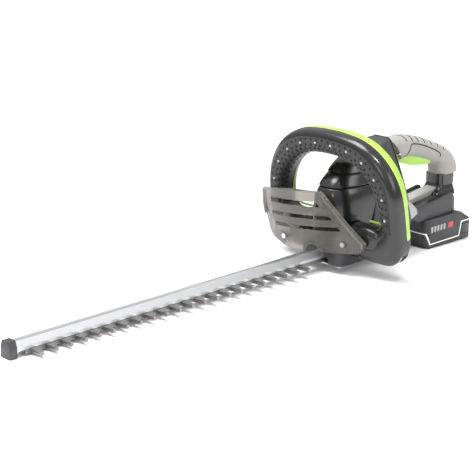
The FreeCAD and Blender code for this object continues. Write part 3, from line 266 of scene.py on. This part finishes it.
def tube(name, paths, radius, slot_name, sides=8, **options):
    """Round bars along open lines of points in millimetres, all in one piece."""
    vertices, faces = [], []
    for path in paths:
        base = len(vertices)
        points = [Vector(point) for point in path]
        for index, point in enumerate(points):
            ahead = points[min(index + 1, len(points) - 1)]
            along = (ahead - points[max(index - 1, 0)]).normalized()
            if index == 0:
                side = along.orthogonal()
            side = (side - along * side.dot(along)).normalized()
            across = along.cross(side)
            for step in range(sides):
                angle = 2 * math.pi * step / sides
                spoke = side * math.cos(angle) + across * math.sin(angle)
                vertices.append((point + spoke * radius) * MM)
        faces += [tuple(base + index for index in face) for face in loft_faces(len(points), sides)]
    mesh = bpy.data.meshes.new(name)
    mesh.from_pydata(vertices, [], faces)
    return add_piece(name, mesh, slot_name, **options)


def refined(name, node, width, slot_name=None, segments=3, edge_angle=35, sharp_angle=45):
    """A copy of a CAD node with its sharp edges rounded, which stands for the node."""
    work = bmesh.new()
    work.from_mesh(frame["nodes"][node].data)
    bmesh.ops.remove_doubles(work, verts=work.verts, dist=1e-6)
    bmesh.ops.dissolve_limit(work, angle_limit=math.radians(1), verts=work.verts, edges=work.edges)
    edges = [edge for edge in work.edges
             if len(edge.link_faces) == 2 and edge.calc_face_angle() > math.radians(edge_angle)]
    bmesh.ops.bevel(work, geom=edges, offset=width * MM, segments=segments, profile=0.5,
                    affect="EDGES", clamp_overlap=True)
    mesh = bpy.data.meshes.new(name)
    work.to_mesh(mesh)
    work.free()
    body = next(key for key, nodes in frame["record"]["behaviour"]["bodies"].items() if node in nodes)
    piece = add_piece(name, mesh, slot_name or NODE_SLOTS[node], body=body, sharp_angle=sharp_angle)
    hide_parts(node)
    return piece


def carve(piece, low, high, turned=None):
    """Cut a box (millimetres) out of a finished piece and bake the result into its mesh."""
    corners = list(itertools.product(*zip(low, high)))
    corners = [turned(*corner) if turned else corner for corner in corners]
    faces = [(0, 1, 3, 2), (4, 6, 7, 5), (0, 4, 5, 1), (2, 3, 7, 6), (0, 2, 6, 4), (1, 5, 7, 3)]
    mesh = bpy.data.meshes.new("cutter")
    mesh.from_pydata([Vector(corner) * MM for corner in corners], [], faces)
    cutter = bpy.data.objects.new("cutter", mesh)
    bpy.context.scene.collection.objects.link(cutter)
    cut = piece.modifiers.new("cut", "BOOLEAN")
    cut.operation, cut.solver, cut.object = "DIFFERENCE", "EXACT", cutter
    solved = piece.evaluated_get(bpy.context.evaluated_depsgraph_get())
    result = bpy.data.meshes.new_from_object(solved)
    piece.modifiers.remove(cut)
    bpy.data.objects.remove(cutter)
    result.materials.clear()
    result.materials.append(piece.data.materials[0])
    piece.data = result


def signed_power(value, power):
    return math.copysign(abs(value) ** power, value)


def blend(first, second, part):
    """A value part of the way from one number or tuple to another."""
    if isinstance(first, tuple):
        return tuple(blend(a, b, part) for a, b in zip(first, second))
    return first + (second - first) * part


def along_stations(stations, position):
    """Values at a fractional index along a list of stations, eased by a cubic spline."""
    index = min(int(position), len(stations) - 2)
    part = position - index
    last = len(stations) - 1
    before, here, there, after = (stations[max(index - 1, 0)], stations[index],
                                  stations[index + 1], stations[min(index + 2, last)])
    values = []
    for a, b, c, d in zip(before, here, there, after):
        values.append(b + 0.5 * part * (c - a + part * (2 * a - 5 * b + 4 * c - d
                      + part * (3 * (b - c) + d - a))))
    return values


# ---------------------------------------------------------------- front loop

LOOP_X = -133.0
LOOP_PIVOT_Z = 60.0
LOOP_LEAN = math.radians(5)
LOOP_DEPTH = 38.0
LOOP_SEAM = 24.0
SEAM_CLIMB = 7.0
LOOP_SQUARENESS = 3.0
LIME_FLOOR = 60.0
CORE_REACH = 2.0
CORE_PROUD = -1.2
# the opening for the front switch bar, before the loop is tipped forwards
SWITCH_SLOT_LOW = (LOOP_X - 34, -34.5, 152)
SWITCH_SLOT_HIGH = (LOOP_X - 18, 34.5, 178)
OUTER_CORNERS = [(36, 22), (124, 22), (112, 185), (0, 198.5), (-112, 185), (-124, 22), (-36, 22)]
OUTER_RADII = [30, 87, 300, 87, 30]
INNER_CORNERS = [(36, 70), (91, 70), (84, 158), (0, 164.8), (-84, 158), (-91, 70), (-36, 70)]
INNER_RADII = [16, 75, 200, 75, 16]


def rounded_path(corners, radii, line_steps=10, arc_steps=16):
    """Points y + zi along a line with rounded corners, the same number for each stretch."""
    corners = [complex(*corner) for corner in corners]
    path = []
    reached = corners[0]
    for before, corner, after, radius in zip(corners, corners[1:], corners[2:], radii):
        into = (corner - before) / abs(corner - before)
        away = (after - corner) / abs(after - corner)
        turn = math.atan2((away / into).imag, (away / into).real)
        reach = radius * math.tan(abs(turn) / 2)
        start = corner - into * reach
        centre = start + into * 1j * math.copysign(radius, turn)
        path += [blend(reached, start, step / line_steps) for step in range(line_steps)]
        for step in range(arc_steps):
            swing = turn * step / arc_steps
            path.append(centre + (start - centre) * complex(math.cos(swing), math.sin(swing)))
        reached = corner + away * reach
    path += [blend(reached, corners[-1], step / line_steps) for step in range(line_steps + 1)]
    return path


LOOP_PAIRS = list(zip(rounded_path(OUTER_CORNERS, OUTER_RADII),
                      rounded_path(INNER_CORNERS, INNER_RADII)))


def leaned(x, y, z):
    """Tip a point of the loop forwards about the foot of its front face."""
    dx, dz = x - LOOP_X, z - LOOP_PIVOT_Z
    return (LOOP_X + dx * math.cos(LOOP_LEAN) + dz * math.sin(LOOP_LEAN), y,
            LOOP_PIVOT_Z - dx * math.sin(LOOP_LEAN) + dz * math.cos(LOOP_LEAN))


def loop_point(pair, angle, proud=0.0):
    """A point on the tube's section: 0 degrees is its front, 90 its outer side."""
    outer, inner = pair
    half = abs(outer - inner) / 2
    out = (outer - inner) / (2 * half)
    cosine, sine = math.cos(math.radians(angle)), math.sin(math.radians(angle))
    forward = (LOOP_DEPTH / 2 + proud) * signed_power(cosine, 2 / LOOP_SQUARENESS)
    across = (half + proud) * signed_power(sine, 2 / LOOP_SQUARENESS)
    spot = (outer + inner) / 2 + out * across
    return leaned(LOOP_X - LOOP_DEPTH / 2 + forward, spot.real, spot.imag)


def loop_band(pairs, limits, steps, proud=0.0, buried=None):
    """Rings of the stretch of the section between two angles, closed by a buried inner face."""
    rings = []
    for pair in pairs:
        first, last = limits(pair)
        angles = [first + (last - first) * step / steps for step in range(steps + 1)]
        ring = [loop_point(pair, angle, proud) for angle in angles]
        if buried is not None:
            ring += [loop_point(pair, angle, buried) for angle in reversed(angles)]
        rings.append(ring)
    return rings


def fixed_limits(first, last):
    """Limits for loop_band that are the same all the way along."""

    def limits(_pair):
        return first, last

    return limits


def seam_angle(pair, shift=0.0):
    """The section angle of the seam, which comes forward towards the top of the loop."""
    climb = min(1.0, max(0.0, (pair[0].imag - 100) / 90))
    depth = LOOP_SEAM - SEAM_CLIMB * climb + shift
    forward = (LOOP_DEPTH / 2 - depth) / (LOOP_DEPTH / 2)
    return math.degrees(math.acos(signed_power(forward, LOOP_SQUARENESS / 2)))


def make_seam_core():
    """The dark bar that fills the seam between the two mouldings."""

    def outer_limits(pair):
        return seam_angle(pair, -CORE_REACH), seam_angle(pair, CORE_REACH)

    def inner_limits(pair):
        return -seam_angle(pair, CORE_REACH), -seam_angle(pair, -CORE_REACH)

    outer_side = loop_band(LOOP_PAIRS, outer_limits, 4, CORE_PROUD)
    inner_side = loop_band(LOOP_PAIRS, inner_limits, 4, CORE_PROUD)
    rings = [outer + inner for outer, inner in zip(outer_side, inner_side)]
    return loft("loop_seam_core", rings, "black_gloss")


def make_loop():
    """The glossy front moulding, the lime rear one and its dark feet."""
    gap = 0.35

    def before_seam(pair):
        return -seam_angle(pair, -gap), seam_angle(pair, -gap)

    def behind_seam(pair):
        return seam_angle(pair, gap), 360 - seam_angle(pair, gap)

    front = loft("loop_front_shell", loop_band(LOOP_PAIRS, before_seam, 40), "black_gloss")
    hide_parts("loop_front")
    is_lime = [pair[0].imag > LIME_FLOOR for pair in LOOP_PAIRS]
    first, last = is_lime.index(True), len(is_lime) - is_lime[::-1].index(True)
    lime = loft("loop_rear_shell", loop_band(LOOP_PAIRS[first:last], behind_seam, 28), "lime")
    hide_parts("loop_rear")
    for side, pairs in (("left", LOOP_PAIRS[:first + 1]), ("right", LOOP_PAIRS[last - 1:])):
        loft(f"loop_foot_{side}", loop_band(pairs, behind_seam, 28, -0.4), "dark_casing")
    for piece in (front, lime, make_seam_core()):
        carve(piece, SWITCH_SLOT_LOW, SWITCH_SLOT_HIGH, leaned)


INSERT_FLOOR = 62.0
INSERT_INNER = -96.0
INSERT_OUTER = 17.0
INSERT_PROUD = 0.7


def insert_pairs():
    """The stretch of the loop that carries the soft insert."""
    return [pair for pair in LOOP_PAIRS if pair[0].imag > INSERT_FLOOR]


def dome_faces(base, sides, levels):
    """Quads and a tip for a small dome of rings."""
    faces = []
    for level in range(levels - 1):
        for step in range(sides):
            here, after = base + level * sides + step, base + level * sides + (step + 1) % sides
            faces.append((here, after, after + sides, here + sides))
    top = base + (levels - 1) * sides
    faces.append(tuple(range(top, top + sides)))
    return faces


def domes(name, spots, radius, height, slot_name, sides=10, levels=4, **options):
    """Small raised buttons at (point, direction) spots, all in one piece."""
    vertices, faces = [], []
    for centre, normal in spots:
        base = len(vertices)
        side = normal.orthogonal().normalized()
        across = normal.cross(side)
        for level in range(levels):
            tilt = math.pi / 2 * level / levels
            for step in range(sides):
                angle = 2 * math.pi * step / sides
                spoke = (side * math.cos(angle) + across * math.sin(angle)) * radius * math.cos(tilt)
                vertices.append((centre + spoke + normal * (height * math.sin(tilt) - 0.2)) * MM)
        faces += dome_faces(base, sides, levels)
        faces.append(tuple(range(base + sides - 1, base - 1, -1)))
    mesh = bpy.data.meshes.new(name)
    mesh.from_pydata(vertices, [], faces)
    return add_piece(name, mesh, slot_name, **options)


def face_spot(pair_low, pair_high, part, across):
    """A point and its outward direction on the front of the insert, across -1 to 1."""
    pair = (blend(pair_low[0], pair_high[0], part), blend(pair_low[1], pair_high[1], part))
    angle = math.degrees(math.asin(signed_power(across, LOOP_SQUARENESS / 2)))
    centre = Vector(loop_point(pair, angle, INSERT_PROUD))
    outside = Vector(loop_point(pair, angle, INSERT_PROUD + 1))

    def spot(at_pair, at_angle):
        return Vector(loop_point(at_pair, at_angle, INSERT_PROUD))

    ahead = spot(pair_high, angle) - spot(pair_low, angle)
    side = spot(pair, angle + 3) - spot(pair, angle - 3)
    normal = ahead.cross(side).normalized()
    if normal.dot(outside - centre) < 0:
        normal.negate()
    return centre, normal


def spots_along(pairs, spacing, across, phase=0.0):
    """Evenly spaced spots along the insert at one place across it."""
    spots = []
    due = spacing * (0.5 + phase)
    travelled = 0.0
    for low, high in zip(pairs, pairs[1:]):
        middle_low, middle_high = (low[0] + low[1]) / 2, (high[0] + high[1]) / 2
        length = abs(middle_high - middle_low)
        while travelled + length > due:
            spots.append(face_spot(low, high, (due - travelled) / length, across))
            due += spacing
        travelled += length
    return spots


def make_loop_insert():
    """The soft insert with its row of light studs, whose colour is a painted glint, and staggered
    near-black raised pips that stand for its dimples as painted shade.
    """
    pairs = insert_pairs()
    rings = loop_band(pairs, fixed_limits(INSERT_INNER, INSERT_OUTER), 30, INSERT_PROUD, -1.5)
    insert = loft("loop_grip_insert", rings, "soft_black", own_material=INSERT_BLACK)
    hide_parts("loop_soft_insert")
    studs = spots_along(pairs, 29, -0.05)
    # the studs' light colour is a painted glint
    domes("loop_grip_studs", studs, 1.9, 1.5, "black_gloss", own_material=STUD_PAINTED_GLINT)
    pips = []
    for across, phase in ((-0.97, 0.5), (-0.8, 0.0), (-0.5, 0.5), (-0.22, 0.0), (0.22, 0.5)):
        pips += spots_along(pairs, 9.7, across, phase)
    # painted shade: the dimples are raised domes in a near-black colour, not hollows
    domes("loop_grip_pips", pips, 2.2, 0.7, "soft_black", sides=8, levels=3, own_material=PAINTED_SHADE_BLACK)


# ---------------------------------------------------------------- motor hood and casing

# height, front x, half-width at the rear
HOOD_LEVELS = [
    (49, -113, 36), (70, -113, 38.5), (90, -114, 38), (106, -117, 36), (116, -121, 33),
    (126, -128, 29.5), (136, -139, 26), (146, -149, 23), (153, -161, 20.5), (158, -174, 18),
    (161, -192, 15), (162, -203, 10),
]
HOOD_REAR = -206.0
HOOD_RIBS = (119.5, 137.0)
# x at the foot, x at the crown, half-width at the foot and at the crown, crown height
CASING_STATIONS = [
    (-180, -208, 38.5, 19.5, 163),
    (-208, -218, 41, 20.5, 168),
    (-238, -228, 41, 20, 171.5),
    (-262, -237, 38, 18, 172),
    (-273, -244, 33, 14.5, 169),
]
CASING_FLOOR = 50.0


def body_ring(station, inset=0.0, side_steps=12, corner_steps=8):
    """A barrel-sided section in a slanting plane."""
    foot_x, crown_x, foot_half, crown_half, crown = station
    corner = 8.0
    foot_half, crown_half, crown = foot_half - inset, crown_half - inset, crown - inset
    shoulder = crown - corner
    bulge = (foot_half + crown_half) / 2 + 4.5
    half = []
    for step in range(side_steps + 1):
        part = step / side_steps
        width = (foot_half * (1 - part) * (1 - 2 * part) + bulge * 4 * part * (1 - part)
                 + crown_half * part * (2 * part - 1))
        half.append((width, blend(CASING_FLOOR, shoulder, part)))
    for step in range(1, corner_steps + 1):
        swing = math.pi / 2 * step / corner_steps
        half.append((crown_half - corner + corner * math.cos(swing),
                     shoulder + corner * math.sin(swing)))
    outline = half + [(-y, z) for y, z in reversed(half)]
    rise = crown - CASING_FLOOR
    return [(blend(foot_x, crown_x, (z - CASING_FLOOR) / rise), y, z) for y, z in outline]


def body_loft(name, stations, first, last, rings, slot_name, lips=(1.2, 1.2), **options):
    """A stretch of the casing with softly rounded ends."""
    nudge = 0.012 * (last - first)
    fore, aft = lips
    start = [(first, fore * 1.6), (first + nudge * 0.3, fore * 0.35), (first + nudge, 0.0)]
    skin = [(blend(first, last, step / rings), 0.0) for step in range(1, rings)]
    end = [(last - nudge, 0.0), (last - nudge * 0.3, aft * 0.35), (last, aft * 1.6)]
    loops = [body_ring(along_stations(stations, position), inset)
             for position, inset in start + skin + end]
    return loft(name, loops, slot_name, **options)


def hood_inset(height):
    """Each lower storey sits further in, with a fine groove under the storey above."""
    storeys = sum(1.6 for rib in HOOD_RIBS if height < rib)
    grooves = sum(1.6 * math.exp(-((height - rib + 0.9) / 0.8) ** 2) for rib in HOOD_RIBS)
    return storeys + grooves


def hood_ring(height, front, half, inset, count=48):
    """A level section of the hood: a blunt nose that widens towards the casing."""
    ring = []
    for step in range(count + 1):
        angle = math.pi * step / count
        x = HOOD_REAR + (front - inset - HOOD_REAR) * signed_power(math.sin(angle), 0.72)
        y = (half - inset) * signed_power(math.cos(angle), 0.66)
        ring.append((x, y, height))
    return ring


def make_hood():
    """The black motor hood, in three storeys that overhang one another a little."""
    last = len(HOOD_LEVELS) - 1
    steps = 90
    rings = []
    for step in range(steps + 1):
        position = last * step / steps
        height, front, half = along_stations(HOOD_LEVELS, position)
        rings.append((height, front, half, hood_inset(height)))
    for rib in HOOD_RIBS:
        nearest = min((abs(ring[0] - rib), index) for index, ring in enumerate(rings))[1]
        front, half = rings[nearest][1:3]
        for height in (rib - 1.6, rib - 0.9, rib - 0.3, rib, rib + 0.4):
            rings.append((height, front, half, hood_inset(height)))
    rings = [hood_ring(*ring) for ring in sorted(rings)]
    hood = loft("hood_shell", rings, "black_gloss", sharp_angle=50)
    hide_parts("motor_hood")


def make_casing():
    """The charcoal casing between the loop and the rear handle, with its dark inlay."""
    casing = body_loft("casing_shell", CASING_STATIONS, 0, 4, 30, "dark_casing", lips=(1.5, 4))
    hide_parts("housing_left", "housing_right")
    seam = [body_ring(along_stations(CASING_STATIONS, 3.2), -0.3)]
    count = len(seam[0])
    stripe = [seam[0][index] for index in range(4, count - 4)]
    tube("casing_inlay", [stripe], 1.3, "soft_black")


# ---------------------------------------------------------------- rear handle

# top x, top z, underside x, underside z, half-width
GRIP_STATIONS = [
    (-246, 167.5, -270, 133, 17.6),
    (-262, 168.5, -274, 134, 17.8),
    (-285, 167, -287, 135.5, 17.3),
    (-310, 161.5, -307, 131, 17),
    (-338, 152, -331, 123.5, 17),
    (-366, 140, -350, 115, 17),
    (-388, 126, -355, 107, 17),
    (-399, 110, -356, 101, 17),
    (-402, 97, -355.5, 96.5, 16.5),
]
GROOVE_COUNT = 7
GROOVE_FIRST = 1.6
GROOVE_STEP = 0.56


def grip_ring(position, inset=0.0, count=40):
    """A rounded section of the handle in its own slanting plane."""
    top_x, top_z, low_x, low_z, half = along_stations(GRIP_STATIONS, position)
    top, low = Vector((top_x, 0, top_z)), Vector((low_x, 0, low_z))
    up = (top - low) / 2
    reach = up.length
    up.normalize()
    ring = []
    for step in range(count):
        angle = 2 * math.pi * step / count
        rise = (reach - inset) * signed_power(math.sin(angle), 0.82)
        side = (half - inset) * signed_power(math.cos(angle), 0.74)
        ring.append(tuple((top + low) / 2 + up * rise + Vector((0, side, 0))))
    return ring


def groove_positions():
    return [GROOVE_FIRST + GROOVE_STEP * index for index in range(GROOVE_COUNT)]


def groove_depth(position):
    """How far the sleeve dips at the nearest groove."""
    nearest = min(abs(position - groove) for groove in groove_positions())
    return 0.9 * math.exp(-(nearest / 0.035) ** 2)


def make_grip():
    """The warm grey sleeve with its transverse grooves and the lines let into its side, which are
    near-black painted shade lying in the grooves.
    """
    rings = []
    steps = 190
    for step in range(steps + 1):
        position = (len(GRIP_STATIONS) - 1) * step / steps
        plain, dipped = grip_ring(position), grip_ring(position, groove_depth(position))
        ring = []
        for index, (outside, inside) in enumerate(zip(plain, dipped)):
            height = math.sin(2 * math.pi * index / len(plain))
            ring.append(blend(outside, inside, min(1.0, max(0.0, (height - 0.2) * 2.2))))
        rings.append(ring)
    rings[0] = grip_ring(0, 3)
    last = len(GRIP_STATIONS) - 1
    rings += [grip_ring(last, 0.8), grip_ring(last, 2.6)]
    grip = loft("grip_sleeve", rings, "soft_grey", sharp_angle=60)
    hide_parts("rear_grip")
    lines = []
    for position in groove_positions():
        ring = grip_ring(position, 0.55, 48)
        lines.append(ring[4:21])
    # painted shade: near-black round bars laid along each groove
    tube("grip_grooves", lines, 0.85, "soft_black", sides=6, own_material=PAINTED_SHADE_BLACK)


# ---------------------------------------------------------------- smaller mouldings

def slab(name, outline, low, high, bevel, slot_name, **options):
    """A rounded prism of an (x, z) outline between two values of y."""
    work = bmesh.new()
    near = [work.verts.new(Vector((x, low, z)) * MM) for x, z in outline]
    far = [work.verts.new(Vector((x, high, z)) * MM) for x, z in outline]
    work.faces.new(near)
    work.faces.new(list(reversed(far)))
    for index in range(len(outline)):
        after = (index + 1) % len(outline)
        work.faces.new((near[index], far[index], far[after], near[after]))
    bmesh.ops.bevel(work, geom=work.edges[:], offset=bevel * MM, segments=3, profile=0.5,
                    affect="EDGES", clamp_overlap=True)
    mesh = bpy.data.meshes.new(name)
    work.to_mesh(mesh)
    work.free()
    return add_piece(name, mesh, slot_name, **options)


def rounded_ring(centre_x, half_x, half_y, radius, z, steps=6):
    """A level rounded rectangle."""
    ring = []
    for quarter, (sign_x, sign_y) in enumerate(((1, 1), (-1, 1), (-1, -1), (1, -1))):
        for step in range(steps + 1):
            angle = math.pi / 2 * (quarter + step / steps)
            ring.append((centre_x + sign_x * (half_x - radius) + radius * math.cos(angle),
                         sign_y * (half_y - radius) + radius * math.sin(angle), z))
    return ring


# centre x, half length, half width, corner radius, height
POST_STATIONS = [
    (-366, 24, 22, 11, 66), (-367, 22.5, 20.5, 10, 71), (-370, 19.5, 17.5, 8, 75),
    (-372, 18, 15.5, 7, 79), (-373.5, 17.5, 15, 6, 84), (-373.5, 18, 15, 6, 98),
]


def make_post():
    """The black post under the rear handle, flared where it meets the foot."""
    rings = []
    steps = 24
    for step in range(steps + 1):
        x, half_x, half_y, radius, z = along_stations(POST_STATIONS, 5 * step / steps)
        rings.append(rounded_ring(x, half_x, half_y, radius, z))
    loft("rear_post_shell", rings, "black_gloss")
    for side in (-1, 1):
        face = 15.4 * side
        tube(f"rear_post_line_{'left' if side > 0 else 'right'}",
             [[(-361, face, 96), (-361, face, 84), (-364, face, 80.5)]], 0.7, "soft_black")


def make_belly():
    """The underside of the casing behind the loop, and the cheeks that close its sides."""
    outline = [(-208, 24), (-208, 56), (-270, 56), (-270, 45), (-254, 30)]
    slab("casing_belly", outline, -36, 36, 4, "dark_casing")
    cheek = [(-250, 90), (-266, 77), (-281, 66), (-284, 57), (-266, 49), (-252, 47)]
    for side, name in ((1, "left"), (-1, "right")):
        low, high = sorted((26 * side, 35.5 * side))
        slab(f"casing_cheek_{name}", cheek, low, high, 3, "light_trim")


def make_housing_screws():
    """The four screw heads on the right side of the casing and of the post."""
    spots = [(-240, 36, 38), (-252, 35, 106), (-235, 23.4, 153), (-380, 15, 84)]
    paths = [[(x, -half - 0.3, z), (x, 6 - half, z)] for x, half, z in spots]
    heads = tube("housing_screw_heads", paths, 3.3, "machine_steel", sides=20)
    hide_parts("housing_screws")


def make_basin():
    """The glossy liner of the foot's tray, on each side of the beam."""
    outline = [(-284, 56), (-284, 60.6), (-352, 71.2), (-352, 60)]
    for side, name in ((1, "left"), (-1, "right")):
        low, high = sorted((9.6 * side, 28.7 * side))
        slab(f"foot_basin_{name}", outline, low, high, 0.8, "black_gloss")


def make_lobes():
    """Glossy rounded lobes in the lower corners of the loop's front, and lime lips behind."""
    for side, name in ((1, "left"), (-1, "right")):
        rings = []
        for step in range(1, 16):
            tilt = math.pi * step / 16
            ring = []
            for turn in range(28):
                angle = 2 * math.pi * turn / 28
                y = 67 * side + 25 * math.sin(tilt) * math.cos(angle)
                z = 57.5 + 16 * math.sin(tilt) * math.sin(angle)
                ring.append(leaned(LOOP_X - 4 + 7.5 * math.cos(tilt), y, z))
            rings.append(ring)
        loft(f"loop_lobe_{name}", rings, "black_gloss")
        lip = [leaned(LOOP_X - 31, y * side, z) for y, z in ((50, 71), (78, 71), (86, 74), (88, 82))]
        tube(f"loop_lip_{name}", [lip], 1.8, "lime")


VENT_TOP = 52.0
VENT_NEAR = 94.0
VENT_FAR = 119.0


def make_vents():
    """Slots with pale rims in the lower outer corners of the loop; each slot is a near-black band
    laid just proud of the surface as painted shade, not an opening.
    """
    foot = [index for index, pair in enumerate(LOOP_PAIRS)
            if pair[0].imag < VENT_TOP and VENT_NEAR < abs(pair[0].real) < VENT_FAR]
    middle = len(LOOP_PAIRS) // 2
    corners = {"left": [index for index in foot if index < middle],
               "right": [index for index in foot if index > middle]}
    for name, corner in corners.items():
        half = len(corner) // 2
        for row, part in enumerate((corner[:half - 1], corner[half + 1:])):
            pairs = [LOOP_PAIRS[index] for index in part]
            slot = loop_band(pairs, fixed_limits(86, 108), 6, 0.3, -1)
            # painted shade: the slot's dark inside is a near-black band, not a hole
            loft(f"loop_vent_{name}_{row}", slot, "soft_black", own_material=PAINTED_SHADE_BLACK)
            for edge, limits in (("front", (79, 85.5)), ("rear", (108.5, 113))):
                rim = loop_band(pairs, fixed_limits(*limits), 3, 0.45, -1)
                loft(f"loop_vent_rim_{name}_{row}_{edge}", rim, "light_trim")


def make_battery_marks():
    """A plain charge gauge on each side of the battery in place of printing."""
    bars = [(-311 - 7 * index, 4, "light_trim", None) for index in range(5)]
    bars.append((-350, 11, "light_trim", SIGNAL_RED))
    for side, name in ((1, "left"), (-1, "right")):
        low, high = sorted((37.4 * side, 38.35 * side))
        for index, (x, width, slot_name, own) in enumerate(bars):
            outline = [(x, 23), (x, 31.5), (x - width, 31.9), (x - width, 23.4)]
            slab(f"gauge_{name}_{index}", outline, low, high, 0.4, slot_name, body="battery",
                 own_material=own)


def make_grip_panel():
    """The dark lines let into each side of the rear handle, near-black as painted shade in the
    recessed lines.
    """
    # place along the handle, and the section angle there in degrees
    turns = [(1.0, -40), (1.45, -32), (1.75, -8), (2.0, 12),
             (2.5, 15), (3.5, 11), (4.6, 1), (4.75, -14)]
    for side, name in ((1, "left"), (-1, "right")):
        path = []
        for step in range(57):
            position, angle = along_stations(turns, step / 8)
            ring = grip_ring(position, 0.2, 360)
            x, y, z = ring[round(angle) % 360]
            path.append((x, y * side, z))
        # painted shade: a near-black bar along each let-in line
        tube(f"grip_panel_line_{name}", [path], 0.9, "soft_black", sides=6, own_material=PAINTED_SHADE_BLACK)


# ---------------------------------------------------------------- everything else

REFINED = [
    ("gear_case", 2.0), ("rail_end_cap", 1.2), ("battery_foot", 1.6), ("beam_cover", 1.0),
    ("battery_case_upper", 1.0), ("battery_case_lower", 1.0), ("battery_button_left", 0.8),
    ("battery_button_right", 0.8), ("trigger", 1.6), ("front_switch_bar", 1.0), ("hand_guard", 0.5),
]


def make_refined():
    for node, width in REFINED:
        refined(node + "_finished", node, width)


dress_frame()
make_loop()
make_loop_insert()
make_hood()
make_casing()
make_grip()
make_grip_panel()
make_post()
make_belly()
make_housing_screws()
make_basin()
make_lobes()
make_vents()
make_battery_marks()
make_refined()


# ---------------------------------------------------------------- stage, light, camera

CAMERA_AT = Vector((1.27724, 1.30101, 0.63318))
CAMERA_AZIMUTH = math.radians(46.5)
CAMERA_ELEVATION = math.radians(17.0)
CAMERA_LENS = 110.6
REST_X = -0.306
REST_SLOPE = 0.0211
FLOOR_DROP = 0.0006
FLOOR_REACH = 6.0


def studio_floor():
    """A pale floor that touches the battery's front edge and the rail's end cap."""

    def height(x):
        return (x - REST_X) * REST_SLOPE - FLOOR_DROP

    mesh = bpy.data.meshes.new("floor")
    corners = [(-FLOOR_REACH, -FLOOR_REACH), (FLOOR_REACH, -FLOOR_REACH),
               (FLOOR_REACH, FLOOR_REACH), (-FLOOR_REACH, FLOOR_REACH)]
    mesh.from_pydata([(x, y, height(x)) for x, y in corners], [], [(0, 1, 2, 3)])
    floor = bpy.data.objects.new("floor", mesh)
    bpy.context.scene.collection.objects.link(floor)
    material = Material("floor_paper", 0.9)
    material.mottle((0.93, 0.93, 0.93), 0.01, 3)
    mesh.materials.append(material.data)


def soft_light(name, at, size, power, target=(0, 0, 0.08)):
    data = bpy.data.lights.new(name, "AREA")
    data.shape = "RECTANGLE"
    data.size, data.size_y = size
    data.energy = power
    light = bpy.data.objects.new(name, data)
    light.location = at
    light.rotation_mode = "QUATERNION"
    light.rotation_quaternion = (Vector(target) - Vector(at)).to_track_quat("-Z", "Y")
    bpy.context.scene.collection.objects.link(light)


def soft_sun(toward, strength, spread):
    """An even light that keeps the whole floor white."""
    data = bpy.data.lights.new("sun", "SUN")
    data.energy = strength
    data.angle = math.radians(spread)
    light = bpy.data.objects.new("sun", data)
    light.rotation_mode = "QUATERNION"
    light.rotation_quaternion = (-Vector(toward)).to_track_quat("-Z", "Y")
    bpy.context.scene.collection.objects.link(light)


def gradient_sky(level, zenith):
    """A sky that is dimmer at the horizon than overhead, so dark plastics keep their depth."""
    world = bpy.data.worlds.new("studio")
    world.use_nodes = True
    nodes, links = world.node_tree.nodes, world.node_tree.links
    split = nodes.new("ShaderNodeSeparateXYZ")
    ramp = nodes.new("ShaderNodeValToRGB")
    stops = ramp.color_ramp.elements
    stops[0].position, stops[0].color = 0.0, (level, level, level, 1)
    stops[1].position, stops[1].color = 0.6, (zenith, zenith, zenith, 1)
    links.new(nodes.new("ShaderNodeTexCoord").outputs["Generated"], split.inputs["Vector"])
    links.new(split.outputs["Z"], ramp.inputs["Fac"])
    links.new(ramp.outputs["Color"], nodes["Background"].inputs["Color"])
    nodes["Background"].inputs["Strength"].default_value = 0.85
    return world


def studio():
    studio_floor()
    soft_sun((0.5, -0.6, 2.4), 1.9, 35)
    soft_light("key", (0.5, -0.6, 2.4), (1.4, 1.4), 26)
    soft_light("fill", (2.4, 1.0, 1.4), (1.0, 0.8), 9)
    soft_light("side", (-1.0, 2.2, 1.2), (0.8, 1.0), 9)
    soft_light("shoulder_strip", (0.12, 0.71, 1.62), (0.45, 0.16), 9, (-0.13, 0.08, 0.18))
    bpy.context.scene.world = gradient_sky(0.45, 1.0)
    bpy.context.scene.view_settings.view_transform = "Standard"


def camera():
    data = bpy.data.cameras.new("photo_view")
    data.lens = CAMERA_LENS
    data.sensor_width = 36
    data.clip_start, data.clip_end = 0.05, 50
    eye = bpy.data.objects.new("photo_view", data)
    flat = math.cos(CAMERA_ELEVATION)
    back = Vector((math.cos(CAMERA_AZIMUTH) * flat, math.sin(CAMERA_AZIMUTH) * flat,
                   math.sin(CAMERA_ELEVATION)))
    eye.location = CAMERA_AT
    eye.rotation_mode = "QUATERNION"
    eye.rotation_quaternion = (-back).to_track_quat("-Z", "Y")
    bpy.context.scene.collection.objects.link(eye)
    bpy.context.scene.camera = eye


studio()
camera()
